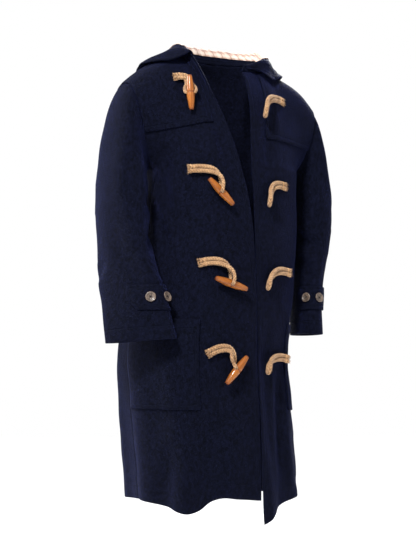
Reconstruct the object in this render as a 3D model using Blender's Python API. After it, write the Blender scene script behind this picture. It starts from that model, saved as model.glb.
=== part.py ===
"""A heavy wool duffle coat, worn open: hollow, with its hood laid back.

Metres, +Z up. The front faces -Y and the wearer's left is +X. The origin is at the nape,
where the coat hangs from the wearer's shoulders. Each cloth piece is a wall between an
outer grid of points and the same grid moved in by the thickness of the cloth.
"""
import math

import bpy
import numpy as np
from mathutils import Vector
from mathutils.bvhtree import BVHTree

CLOTH = 0.0035
LINING = 0.0012
SEAM_GAP = 0.0004
LAYER_GAP = 0.0008

# Heights of the main lines, below the nape.
ARMPIT = -0.290
POCKET_TOP = -0.637
POCKET_BOTTOM = -0.836
HEM = -1.055

# The body below the armpits: horizontal rings, each a rounded oval.
RING_POWER = 2 / 2.4
RINGS = {
    "height": (-1.120, -1.055, -0.930, -0.820, -0.700, -0.580, -0.460, -0.360, -0.290),
    "half_width": (0.196, 0.197, 0.200, 0.199, 0.199, 0.197, 0.190, 0.186, 0.184),
    "half_depth": (0.162, 0.161, 0.159, 0.157, 0.154, 0.149, 0.143, 0.141, 0.140),
    "centre_x": (0.006, 0.004, -0.006, -0.018, -0.026, -0.007, 0.008, 0.011, 0.011),
    "centre_y": (-0.003, -0.003, -0.003, -0.003, -0.001, 0.000, 0.000, 0.000, 0.000),
}

# Where the two front edges run, as X at a height.
FRONT_EDGES = {
    "height": (-1.120, -1.045, -0.926, -0.813, -0.688, -0.524, -0.449, -0.369, -0.290),
    "right": (0.042, 0.040, 0.036, 0.033, 0.031, 0.029, 0.024, 0.012, -0.010),
    "left": (0.050, 0.047, 0.042, 0.038, 0.036, 0.034, 0.030, 0.026, 0.020),
}

# The hem's height round the body, in degrees from the front, wearer's left positive.
HEM_RIGHT = {
    "angle": (-100.0, -67.0, -53.0, -41.0, -32.0, -23.0, -14.0, -2.0, 16.0),
    "height": (-1.040, -1.047, -1.054, -1.064, -1.062, -1.042, -1.031, -1.034, -1.042),
}
HEM_LEFT = {
    "angle": (10.0, 16.0, 25.0, 36.0, 48.0, 65.0, 100.0),
    "height": (-1.092, -1.078, -1.059, -1.045, -1.037, -1.031, -1.034),
}
HEM_BACK = {
    "angle": (80.0, 125.0, 160.0, 200.0, 235.0, 280.0),
    "height": (-1.035, -1.043, -1.054, -1.055, -1.047, -1.040),
}

# Soft upright folds: direction in degrees, half-width in degrees, how far each stands
# out at the hem (in where negative), and the height at which it starts.
FOLDS = {
    "angle": (-78, -58, -40, -22, -5, 14, 30, 52, 74, 98, 124, 148, 172, 196, 222, 246, 268),
    "width": (9, 8, 10, 9, 7, 7, 8, 9, 9, 10, 10, 9, 10, 9, 10, 10, 9),
    "depth": (0.006, -0.007, 0.012, -0.011, 0.004, 0.010, -0.010, 0.007, -0.008, 0.010,
              -0.009, 0.010, -0.010, 0.011, -0.010, 0.009, -0.007),
    "start": (-0.55, -0.62, -0.70, -0.66, -0.80, -0.74, -0.50, -0.62, -0.66, -0.45,
              -0.55, -0.42, -0.36, -0.48, -0.40, -0.52, -0.60),
}

SIDE_SEAM_RIGHT = -88.0
SIDE_SEAM_LEFT = 94.0

# The shoulder seam from the neck out to the sleeve, for one side.
SHOULDER_SEAM = {
    "along": (0.0, 0.33, 0.66, 1.0),
    "out": (0.103, 0.151, 0.201, 0.246),
    "back": (-0.004, -0.002, 0.001, 0.004),
    "height": (-0.004, -0.026, -0.056, -0.094),
}
NECKLINE_RIGHT = {
    "along": (0.0, 0.35, 0.7, 1.0),
    "x": (-0.103, -0.107, -0.107, -0.103),
    "y": (-0.064, -0.044, -0.022, -0.004),
    "height": (-0.024, -0.018, -0.010, -0.004),
}
NECKLINE_LEFT = {
    "along": (0.0, 0.33, 0.66, 1.0),
    "x": (0.016, 0.060, 0.095, 0.103),
    "y": (-0.092, -0.080, -0.046, -0.004),
    "height": (-0.050, -0.044, -0.026, -0.004),
}
NECKLINE_BACK = {
    "along": (0.0, 0.17, 0.33, 0.5, 0.67, 0.83, 1.0),
    "x": (0.103, 0.087, 0.051, 0.0, -0.051, -0.087, -0.103),
    "y": (-0.004, 0.040, 0.072, 0.084, 0.072, 0.040, -0.004),
    "height": (-0.004, 0.002, 0.006, 0.007, 0.006, 0.002, -0.004),
}
NECK_SHARE_RIGHT = 0.30
NECK_SHARE_LEFT = 0.3875
NECK_SHARE_BACK = 8 / 18

BODY_ROWS = (-1.0, -0.965, -0.900, POCKET_BOTTOM, -0.787, -0.737, -0.687, POCKET_TOP,
             -0.565, -0.490, -0.420, -0.350, ARMPIT)
YOKE_ROW = 5
YOKE_INSET = 0.002
YOKE_NECK_INSET = {"front_right": 0.001, "front_left": 0.005, "back": 0.005}
TOP_ROWS = 9
RELAX_ROW = 14
RELAX_ROUNDS = 3
FRONT_COLUMNS = 12
BAND_COLUMN = 2
BAND_SHARE = 0.125
BACK_COLUMNS = 18
YOKE_BOTTOM = {
    "share": (0.0, 0.5, 1.0),
    "front_right": (-0.176, -0.196, -0.212),
    "front_left": (-0.206, -0.208, -0.203),
    "back": (-0.203, -0.207, -0.212),
}


def read(table, at, column, value):
    """Reads a column at a value, smoothly, from a table with named columns."""
    xs = np.array(table[at], dtype=float)
    ys = np.array(table[column], dtype=float)
    slopes = np.gradient(ys, xs)
    value = np.clip(np.asarray(value, dtype=float), xs.min(), xs.max())
    i = np.clip(np.searchsorted(xs, value) - 1, 0, len(xs) - 2)
    step = xs[i + 1] - xs[i]
    t = (value - xs[i]) / step
    return hermite(ys[i], slopes[i] * step, ys[i + 1], slopes[i + 1] * step, t)


def hermite(start, leave, end, arrive, t):
    """A cubic from start to end with the given directions at its ends."""
    return (start * (2 * t**3 - 3 * t**2 + 1) + leave * (t**3 - 2 * t**2 + t)
            + end * (3 * t**2 - 2 * t**3) + arrive * (t**3 - t**2))


def ease(low, high, value):
    """0 below low, 1 above high and smooth between."""
    t = min(max((value - low) / (high - low), 0.0), 1.0)
    return t * t * (3 - 2 * t)


def signed_power(value, power):
    return math.copysign(abs(value) ** power, value)


def fold_depth(angle, height):
    """How far the soft folds move the cloth out at a direction and height."""
    total = 0.0
    rows = zip(FOLDS["angle"], FOLDS["width"], FOLDS["depth"], FOLDS["start"])
    for centre, width, depth, start in rows:
        away = (angle - centre + 180) % 360 - 180
        grow = min(max((start - height) / (start - HEM), 0.0), 1.1)
        total += depth * grow * math.exp(-((away / width) ** 2))
    return total


def ring_point(angle, height):
    """A point of the body's cloth at a direction in degrees and a height."""
    turn = math.radians(angle)
    a = float(read(RINGS, "height", "half_width", height)) + fold_depth(angle, height)
    b = float(read(RINGS, "height", "half_depth", height)) + fold_depth(angle, height)
    x = float(read(RINGS, "height", "centre_x", height))
    y = float(read(RINGS, "height", "centre_y", height))
    x += a * signed_power(math.sin(turn), RING_POWER)
    y -= b * signed_power(math.cos(turn), RING_POWER)
    return np.array((x, y, height))


def edge_angle(side, height):
    """The direction of a front edge at a height, from its X."""
    x = float(read(FRONT_EDGES, "height", side, height))
    a = float(read(RINGS, "height", "half_width", height))
    x -= float(read(RINGS, "height", "centre_x", height))
    return math.degrees(math.asin(signed_power(x / a, 1 / RING_POWER)))


def table_point(table, names, along, flip=1.0):
    x, y, z = (float(read(table, "along", name, along)) for name in names)
    return np.array((x * flip, y, z))


def top_point(piece, share):
    """A point of a panel's top: its neckline, then its shoulder seam."""
    seam = ("out", "back", "height")
    line = ("x", "y", "height")
    if piece == "front_right":
        if share <= NECK_SHARE_RIGHT:
            return table_point(NECKLINE_RIGHT, line, share / NECK_SHARE_RIGHT)
        along = (share - NECK_SHARE_RIGHT) / (1 - NECK_SHARE_RIGHT)
        return table_point(SHOULDER_SEAM, seam, along, -1.0)
    if piece == "front_left":
        if share <= NECK_SHARE_LEFT:
            return table_point(NECKLINE_LEFT, line, share / NECK_SHARE_LEFT)
        along = (share - NECK_SHARE_LEFT) / (1 - NECK_SHARE_LEFT)
        return table_point(SHOULDER_SEAM, seam, along)
    shoulder = (1 - NECK_SHARE_BACK) / 2
    if share <= shoulder:
        return table_point(SHOULDER_SEAM, seam, 1 - share / shoulder)
    if share >= 1 - shoulder:
        return table_point(SHOULDER_SEAM, seam, (share - 1 + shoulder) / shoulder, -1.0)
    return table_point(NECKLINE_BACK, line, (share - shoulder) / NECK_SHARE_BACK)


def upper_point(piece, foot, share, rise):
    """A point above the armpit, on the cubic from the armpit ring up to the panel's top."""
    top = top_point(piece, share)
    if piece == "back":
        edge = abs(2 * share - 1)
        neck = 1 - ease(NECK_SHARE_BACK - 0.25, NECK_SHARE_BACK + 0.45, edge)
        side = 1.0 if share < 0.5 else -1.0
        forward = -1.0
    else:
        edge = share
        bound = NECK_SHARE_RIGHT if piece == "front_right" else NECK_SHARE_LEFT
        neck = 1 - ease(bound - 0.25, bound + 0.45, share)
        side = -1.0 if piece == "front_right" else 1.0
        forward = 1.0
    arm = ease(0.72, 1.0, edge)
    lean = 0.0
    if piece == "front_right":
        lean = 1 - ease(0.0, 0.45, share)
    leave = np.array((
        side * 0.14 * arm - 0.075 * lean,
        -forward * 0.15 * arm + 0.03 * neck * forward,
        0.30 * (1 - arm) + 0.14 * arm,
    ))
    arrive_shoulder = np.array((0.0, forward * (0.34 - 0.04 * arm), 0.0))
    arrive_neck = np.array((-0.03 * lean, forward * 0.16, 0.20))
    arrive = arrive_shoulder * (1 - neck) + arrive_neck * neck
    return hermite(foot, leave, top, arrive, rise)


def yoke_rise(piece, foot, share):
    """How far up its cubic a column meets the lower edge of the yoke."""
    target = float(read(YOKE_BOTTOM, "share", piece, share))
    low, high = 0.0, 1.0
    for _ in range(30):
        middle = (low + high) / 2
        if upper_point(piece, foot, share, middle)[2] < target:
            low = middle
        else:
            high = middle
    return (low + high) / 2


def panel_shares(piece):
    """How far across a panel each column lies, closer together at the front band."""
    if piece == "back":
        return [i / BACK_COLUMNS for i in range(BACK_COLUMNS + 1)]
    shares = [BAND_SHARE * i / BAND_COLUMN for i in range(BAND_COLUMN)]
    rest = FRONT_COLUMNS - BAND_COLUMN
    return shares + [BAND_SHARE + (1 - BAND_SHARE) * i / rest for i in range(rest + 1)]


def panel_angle(piece, share, height):
    if piece == "back":
        return SIDE_SEAM_LEFT + share * (360 + SIDE_SEAM_RIGHT - SIDE_SEAM_LEFT)
    side = piece.split("_")[1]
    seam = SIDE_SEAM_RIGHT if side == "right" else SIDE_SEAM_LEFT
    start = edge_angle(side, height)
    return start + share * (seam - start)


def panel_grid(piece):
    """The outer points of a body panel: rows from the hem up, columns across."""
    hem = {"back": HEM_BACK, "front_right": HEM_RIGHT, "front_left": HEM_LEFT}[piece]
    grid = []
    shares = panel_shares(piece)
    for row, height in enumerate(BODY_ROWS):
        line = []
        for share in shares:
            z = height
            if row == 0:
                z = float(read(hem, "angle", "height", panel_angle(piece, share, HEM)))
            line.append(ring_point(panel_angle(piece, share, z), z))
        grid.append(line)
    feet = grid[-1]
    rises = [yoke_rise(piece, foot, share) for foot, share in zip(feet, shares)]
    for row in range(1, TOP_ROWS + 1):
        line = []
        for foot, share, rise in zip(feet, shares, rises):
            if row <= YOKE_ROW:
                t = rise * row / YOKE_ROW
            else:
                t = rise + (1 - rise) * (row - YOKE_ROW) / (TOP_ROWS - YOKE_ROW)
            line.append(upper_point(piece, foot, share, t))
        grid.append(line)
    grid = np.array(grid)
    if piece != "back":
        for _ in range(RELAX_ROUNDS):
            inner = grid[RELAX_ROW:-1]
            inner[:, 1:-1] = inner[:, 1:-1] / 2 + (inner[:, :-2] + inner[:, 2:]) / 4
    return grid


def grid_normals(grid, ring=False):
    """Unit normals of a grid of points, which may close on itself across its columns."""
    if ring:
        grid = np.concatenate((grid[:, -1:], grid, grid[:, :1]), axis=1)
    faces = np.cross(grid[1:, 1:] - grid[:-1, :-1], grid[1:, :-1] - grid[:-1, 1:])
    faces /= np.linalg.norm(faces, axis=2, keepdims=True)
    normals = np.zeros_like(grid)
    for rows in (slice(1, None), slice(None, -1)):
        for columns in (slice(1, None), slice(None, -1)):
            normals[rows, columns] += faces
    if ring:
        normals = normals[:, 1:-1]
    return normals / np.linalg.norm(normals, axis=2, keepdims=True)


def make_material(name, colour, roughness):
    material = bpy.data.materials.get(name)
    if material is None:
        material = bpy.data.materials.new(name)
        material.use_nodes = True
        shader = material.node_tree.nodes["Principled BSDF"]
        shader.inputs["Base Color"].default_value = (*colour, 1.0)
        shader.inputs["Roughness"].default_value = roughness
    return material


def navy_wool():
    return make_material("navy_wool", (0.010, 0.012, 0.040), 0.95)


def checked_lining():
    return make_material("checked_lining", (0.50, 0.38, 0.32), 0.8)


def jute_rope():
    return make_material("jute_rope", (0.60, 0.42, 0.20), 0.9)


def toggle_wood():
    return make_material("toggle_wood", (0.42, 0.17, 0.04), 0.35)


def button_horn():
    return make_material("button_horn", (0.09, 0.07, 0.06), 0.4)


def add_object(name, points, faces, material):
    mesh = bpy.data.meshes.new(name)
    mesh.from_pydata([tuple(float(v) for v in p) for p in points], [], faces)
    mesh.validate()
    mesh.materials.append(material)
    mesh.shade_smooth()
    mesh.set_sharp_from_angle(angle=math.radians(40))
    made = bpy.data.objects.new(name, mesh)
    bpy.context.scene.collection.objects.link(made)
    return made


def wall_faces(rows, columns, ring=False):
    """Faces of a wall whose outer points come first and inner points after them."""
    inner = rows * columns
    spans = columns if ring else columns - 1
    faces = []
    for r in range(rows - 1):
        for c in range(spans):
            d = (c + 1) % columns
            a, b = r * columns + c, r * columns + d
            e, f = (r + 1) * columns + d, (r + 1) * columns + c
            faces.append((a, b, e, f))
            faces.append((inner + a, inner + f, inner + e, inner + b))
    for c in range(spans):
        d = (c + 1) % columns
        faces.append((inner + c, inner + d, d, c))
        top = (rows - 1) * columns
        faces.append((top + c, top + d, inner + top + d, inner + top + c))
    if not ring:
        last = columns - 1
        for r in range(rows - 1):
            a, f = r * columns, (r + 1) * columns
            faces.append((a, f, inner + f, inner + a))
            b, e = a + last, f + last
            faces.append((inner + b, inner + e, e, b))
    return faces


def signed_volume(points, faces):
    """The volume that faces enclose, negative where they point in."""
    total = 0.0
    for face in faces:
        for i in range(1, len(face) - 1):
            a, b, c = points[face[0]], points[face[i]], points[face[i + 1]]
            total += float(np.dot(a, np.cross(b, c))) / 6
    return total


def cloth_wall(name, outer, inner, material, ring=False):
    """One closed wall between an outer and an inner grid of points, its faces out."""
    rows, columns = outer.shape[:2]
    points = np.concatenate((outer.reshape(-1, 3), inner.reshape(-1, 3)))
    faces = wall_faces(rows, columns, ring)
    if signed_volume(points, faces) < 0:
        faces = [face[:1] + face[:0:-1] for face in faces]
    return add_object(name, points, faces, material)


def pull_in(grid, sides, gap):
    """Moves the named borders of a grid back along the cloth by a gap."""
    moved = grid.copy()
    ends = {"left": (0, 1), "right": (-1, -2)}
    for side in sides:
        if side in ends:
            edge, near = ends[side]
            step = grid[:, near] - grid[:, edge]
            length = np.linalg.norm(step, axis=1, keepdims=True)
            moved[:, edge] = grid[:, edge] + step / length * gap
        else:
            edge, near = (0, 1) if side == "bottom" else (-1, -2)
            step = grid[near] - grid[edge]
            length = np.linalg.norm(step, axis=1, keepdims=True)
            moved[edge] = grid[edge] + step / length * gap
    return moved


def body_panels():
    """The grids and normals of the three body panels, with shared normals at seams."""
    pieces = ("front_right", "front_left", "back")
    grids = {piece: panel_grid(piece) for piece in pieces}
    normals = {piece: grid_normals(grids[piece]) for piece in pieces}
    normals["front_right"] *= -1
    low = len(BODY_ROWS)
    for piece, column, back_column in (("front_left", -1, 0), ("front_right", -1, -1)):
        mean = normals[piece][:low, column] + normals["back"][:low, back_column]
        mean /= np.linalg.norm(mean, axis=1, keepdims=True)
        normals[piece][:low, column] = mean
        normals["back"][:low, back_column] = mean
    for piece in pieces:
        normals[piece][-1] = top_normals(piece, normals[piece][-1])
    return grids, normals


def top_normals(piece, row):
    """Normals along a panel's top, upright where front and back meet at the shoulder."""
    fixed = row.copy()
    for i, share in enumerate(panel_shares(piece)):
        if piece == "back":
            seam = ease(NECK_SHARE_BACK - 0.11, NECK_SHARE_BACK, abs(2 * share - 1))
        else:
            bound = NECK_SHARE_RIGHT if piece == "front_right" else NECK_SHARE_LEFT
            seam = ease(bound - 0.08, bound, share)
        out = 1.0 if top_point(piece, share)[0] > 0 else -1.0
        upright = np.array((out * 0.50, 0.0, 0.866))
        mixed = row[i] * (1 - seam) + upright * seam
        fixed[i] = mixed / np.linalg.norm(mixed)
    return fixed


def seam_sides(piece):
    return {"back": ("left", "right", "top"), "front_right": ("right", "top"),
            "front_left": ("right", "top")}[piece]


def make_panels(grids, normals):
    for piece, grid in grids.items():
        inner = grid - normals[piece] * CLOTH
        sides = seam_sides(piece)
        outer = pull_in(grid, sides, SEAM_GAP)
        inner = pull_in(inner, sides, SEAM_GAP)
        cloth_wall(piece, outer, inner, navy_wool())


def layer_on(name, grid, normals, sides, inset, top_inset=0.0):
    """A second layer of cloth over part of a piece, made from the piece's own points."""
    base = pull_in(grid + normals * LAYER_GAP, sides, inset)
    outer = pull_in(grid + normals * (LAYER_GAP + CLOTH), sides, inset)
    base = pull_in(base, ("top",), top_inset)
    outer = pull_in(outer, ("top",), top_inset)
    return cloth_wall(name, outer, base, navy_wool())


def neck_insets(piece):
    """How far each column of a yoke stops short of the panel's top, more at the neck."""
    insets = []
    for share in panel_shares(piece):
        if piece == "back":
            at_neck = abs(2 * share - 1) < NECK_SHARE_BACK + 0.01
        else:
            bound = NECK_SHARE_RIGHT if piece == "front_right" else NECK_SHARE_LEFT
            at_neck = share < bound + 0.01
        insets.append(YOKE_NECK_INSET[piece] if at_neck else YOKE_INSET)
    return np.array(insets)[:, None]


def make_yokes(grids, normals):
    bottom = len(BODY_ROWS) - 1 + YOKE_ROW
    for piece in ("front_right", "front_left"):
        part = (slice(bottom, None), slice(BAND_COLUMN, None))
        name = piece.replace("front", "yoke")
        top = neck_insets(piece)[BAND_COLUMN:]
        layer_on(name, grids[piece][part], normals[piece][part], ("right",), YOKE_INSET, top)
    part = slice(bottom, None)
    sides = ("left", "right")
    top = neck_insets("back")
    layer_on("yoke_back", grids["back"][part], normals["back"][part], sides, YOKE_INSET, top)


# Patch pockets, between rows POCKET_BOTTOM and POCKET_TOP, in columns of the fronts.
POCKET_COLUMNS = {"front_right": (5, 12), "front_left": (5, 12)}
POCKET_INSET = 0.012
POCKET_REACH = {"pocket_right": 0.012, "pocket_left": 0.0}


def make_pockets(grids, normals):
    low = BODY_ROWS.index(POCKET_BOTTOM)
    high = BODY_ROWS.index(POCKET_TOP)
    for piece, (first, last) in POCKET_COLUMNS.items():
        part = (slice(low, high + 1), slice(first, last + 1))
        name = piece.replace("front", "pocket")
        reached = pull_in(grids[piece][part], ("left",), -POCKET_REACH[name])
        layer_on(name, reached, normals[piece][part], ("right",), POCKET_INSET)


# Sleeves: ovals down the arm, with the long axis turned from straight ahead towards the
# middle of the body, in degrees.
SLEEVES = {
    "right": {
        "height": (-0.360, -0.420, -0.480, -0.540, -0.600, -0.655, -0.692),
        "x": (-0.2465, -0.2480, -0.2475, -0.2460, -0.2425, -0.2405, -0.2385),
        "y": (-0.004, -0.012, -0.030, -0.053, -0.080, -0.102, -0.116),
        "half_long": (0.084, 0.082, 0.080, 0.078, 0.077, 0.078, 0.079),
        "half_short": (0.052, 0.050, 0.046, 0.041, 0.035, 0.030, 0.028),
        "turn": (2.0, 6.0, 15.0, 30.0, 46.0, 56.0, 60.0),
        "rise": (0.0, 0.0, 0.0, 0.001, 0.003, 0.006, 0.0075),
    },
    "left": {
        "height": (-0.360, -0.420, -0.480, -0.540, -0.590, -0.625, -0.655),
        "x": (0.2590, 0.2570, 0.2490, 0.2400, 0.2330, 0.2290, 0.2281),
        "y": (0.004, 0.000, -0.010, -0.024, -0.036, -0.046, -0.052),
        "half_long": (0.084, 0.082, 0.080, 0.078, 0.077, 0.077, 0.077),
        "half_short": (0.049, 0.047, 0.042, 0.035, 0.033, 0.031, 0.030),
        "turn": (0.0, 2.0, 8.0, 14.0, 13.0, 11.0, 10.0),
        "rise": (0.0, 0.0, 0.0, 0.0, 0.0, 0.0, 0.0),
    },
}
SLEEVE_HEAD_ROWS = (0.0, 0.10, 0.20, 0.32, 0.46, 0.62, 0.80)
SLEEVE_ROWS = {
    "right": (-0.360, -0.400, -0.440, -0.480, -0.525, -0.568, -0.595, -0.622, -0.655, -0.687),
    "left": (-0.360, -0.400, -0.440, -0.475, -0.510, -0.544, -0.571, -0.598, -0.626, -0.655),
}
STRAP_ROWS = (5, 7)


def armhole(grids, normals, side):
    """The outer and inner points of an armhole, from the armpit up the front and down."""
    low = len(BODY_ROWS) - 1
    front = "front_" + side
    column = 0 if side == "left" else -1
    loops = []
    for depth in (0.0, CLOTH):
        ahead = grids[front][low:, -1] - normals[front][low:, -1] * depth
        behind = grids["back"][low:, column] - normals["back"][low:, column] * depth
        loops.append(np.concatenate((ahead, behind[1:-1][::-1])))
    return loops


def sleeve_ring(side, height, count):
    """The oval of a sleeve at a height, starting at its inner side and going forward."""
    table = SLEEVES[side]
    names = ("x", "y", "half_long", "half_short", "turn", "rise")
    x, y, long, short, turn, rise = (read_down(table, name, height) for name in names)
    sign = 1.0 if side == "left" else -1.0
    swing = math.radians(turn)
    ahead = np.array((-sign * math.sin(swing), -math.cos(swing), 0.0))
    out = np.array((sign * math.cos(swing), -math.sin(swing), 0.0))
    ring = []
    for i in range(count):
        angle = 2 * math.pi * i / count
        point = np.array((x, y, height + rise * math.sin(angle)))
        point = point - out * short * math.cos(angle) + ahead * long * math.sin(angle)
        ring.append(point)
    return np.array(ring)


def read_down(table, name, height):
    flipped = {"height": table["height"][::-1], name: table[name][::-1]}
    return float(read(flipped, "height", name, height))


def sleeve_grid(grids, normals, side):
    """Outer and inner points of a sleeve, from the armhole down to the cuff."""
    outer_loop, inner_loop = armhole(grids, normals, side)
    count = len(outer_loop)
    sign = 1.0 if side == "left" else -1.0
    first = sleeve_ring(side, SLEEVE_ROWS[side][0], count)
    rows = []
    for t in SLEEVE_HEAD_ROWS:
        line = []
        for i in range(count):
            turn = 2 * math.pi * i / count
            under = ease(0.55, 1.0, math.cos(turn))
            over = 0.5 - 0.5 * math.cos(turn)
            leave = np.array((
                sign * (0.05 + 0.035 * over),
                -0.04 * math.sin(turn),
                0.045 * under - 0.07 * over * (1 - under),
            ))
            arrive = np.array((0.0, 0.0, -0.07 - 0.16 * over))
            line.append(hermite(outer_loop[i], leave, first[i], arrive, t))
        rows.append(line)
    for height in SLEEVE_ROWS[side]:
        rows.append(sleeve_ring(side, height, count))
    outer = np.array(rows)
    facing = grid_normals(outer, ring=True)
    if side == "right":
        facing = -facing
    inner = outer + facing * CLOTH
    away = outer[1] - outer[0]
    away /= np.linalg.norm(away, axis=1, keepdims=True)
    outer[0] = outer_loop + away * SEAM_GAP
    inner[0] = inner_loop + away * SEAM_GAP
    return outer, inner


def make_sleeves(grids, normals):
    """Both sleeves, and for the cuff straps each one's outer points and what faces out."""
    surfaces = {}
    for side in ("right", "left"):
        outer, inner = sleeve_grid(grids, normals, side)
        cloth_wall("sleeve_" + side, outer, inner, navy_wool(), ring=True)
        surfaces[side] = (outer, (outer - inner) / CLOTH)
    return surfaces


# Cuff straps: the columns of the sleeve that each one covers, and its buttons' columns.
CUFF_STRAPS = {"right": {"first": 3, "last": 9, "buttons": (5, 7)},
               "left": {"first": 1, "last": 7, "buttons": (3, 5)}}
STRAP_CORNER = 0.45


def make_cuff_straps(surfaces):
    top, bottom = (len(SLEEVE_HEAD_ROWS) + row for row in STRAP_ROWS)
    for side, strap in CUFF_STRAPS.items():
        outer, facing = surfaces[side]
        part = (slice(top, bottom + 1), slice(strap["first"], strap["last"] + 1))
        grid = outer[part].copy()
        for row in (0, -1):
            grid[row, -1] += (grid[row, -2] - grid[row, -1]) * STRAP_CORNER
            grid[row, -1] += facing[part][row, -1] * LAYER_GAP
        layer_on("cuff_tab_" + side, grid, facing[part], (), 0.0)
        middle = (top + bottom) // 2
        for number, column in enumerate(strap["buttons"], 1):
            out = facing[middle, column]
            foot = outer[middle, column] + out * (2 * LAYER_GAP + CLOTH)
            name = "cuff_button_%s_%d" % (side, number)
            turned_piece(name, BUTTON_PROFILE, foot, out, 12, button_horn())


# Turned pieces: radius at each length along the axis.
BUTTON_PROFILE = {
    "along": (0.0, 0.0022, 0.0034, 0.0034, 0.0026),
    "radius": (0.0098, 0.0115, 0.0106, 0.0092, 0.0076),
}
TOGGLE_PROFILE = {
    "along": (-0.0400, -0.0385, -0.0300, -0.0180, -0.0075, -0.0044, -0.0013, 0.0000,
              0.0013, 0.0044, 0.0075, 0.0180, 0.0300, 0.0385, 0.0400),
    "radius": (0.0036, 0.0050, 0.0063, 0.0078, 0.0088, 0.0089, 0.0088, 0.0078,
               0.0088, 0.0089, 0.0088, 0.0078, 0.0063, 0.0050, 0.0036),
}


def turned_piece(name, profile, foot, axis, sides, material):
    """A solid of revolution about an axis through a point."""
    axis = np.array(axis, dtype=float)
    axis /= np.linalg.norm(axis)
    helper = np.array((0.0, 0.0, 1.0)) if abs(axis[2]) < 0.9 else np.array((1.0, 0.0, 0.0))
    across = np.cross(helper, axis)
    across /= np.linalg.norm(across)
    upward = np.cross(axis, across)
    points = []
    for along, radius in zip(profile["along"], profile["radius"]):
        for i in range(sides):
            turn = 2 * math.pi * i / sides
            spoke = across * math.cos(turn) + upward * math.sin(turn)
            points.append(np.array(foot) + axis * along + spoke * radius)
    rings = len(profile["along"])
    faces = []
    for r in range(rings - 1):
        for i in range(sides):
            j = (i + 1) % sides
            faces.append((r * sides + i, r * sides + j, (r + 1) * sides + j, (r + 1) * sides + i))
    faces.append(tuple(range(sides))[::-1])
    faces.append(tuple((rings - 1) * sides + i for i in range(sides)))
    return add_object(name, points, faces, material)


# Toggles, from the top down: the middle of each and the direction of its length. A hole runs
# through the middle of each, between two rows of its profile.
TOGGLES = {
    "toggle_1": {"middle": (-0.1279, -0.1089, -0.1222), "axis": (0.050, -0.080, -0.995)},
    "toggle_2": {"middle": (-0.0668, -0.1512, -0.3485), "axis": (0.690, -0.170, -0.700)},
    "toggle_3": {"middle": (-0.0432, -0.1634, -0.5550), "axis": (0.954, -0.115, -0.277)},
    "toggle_4": {"middle": (-0.0321, -0.1751, -0.7477), "axis": (-0.640, -0.005, -0.768)},
}
TOGGLE_HOLE_ROWS = (5, 9)
TOGGLE_SIDES = 12

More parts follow.
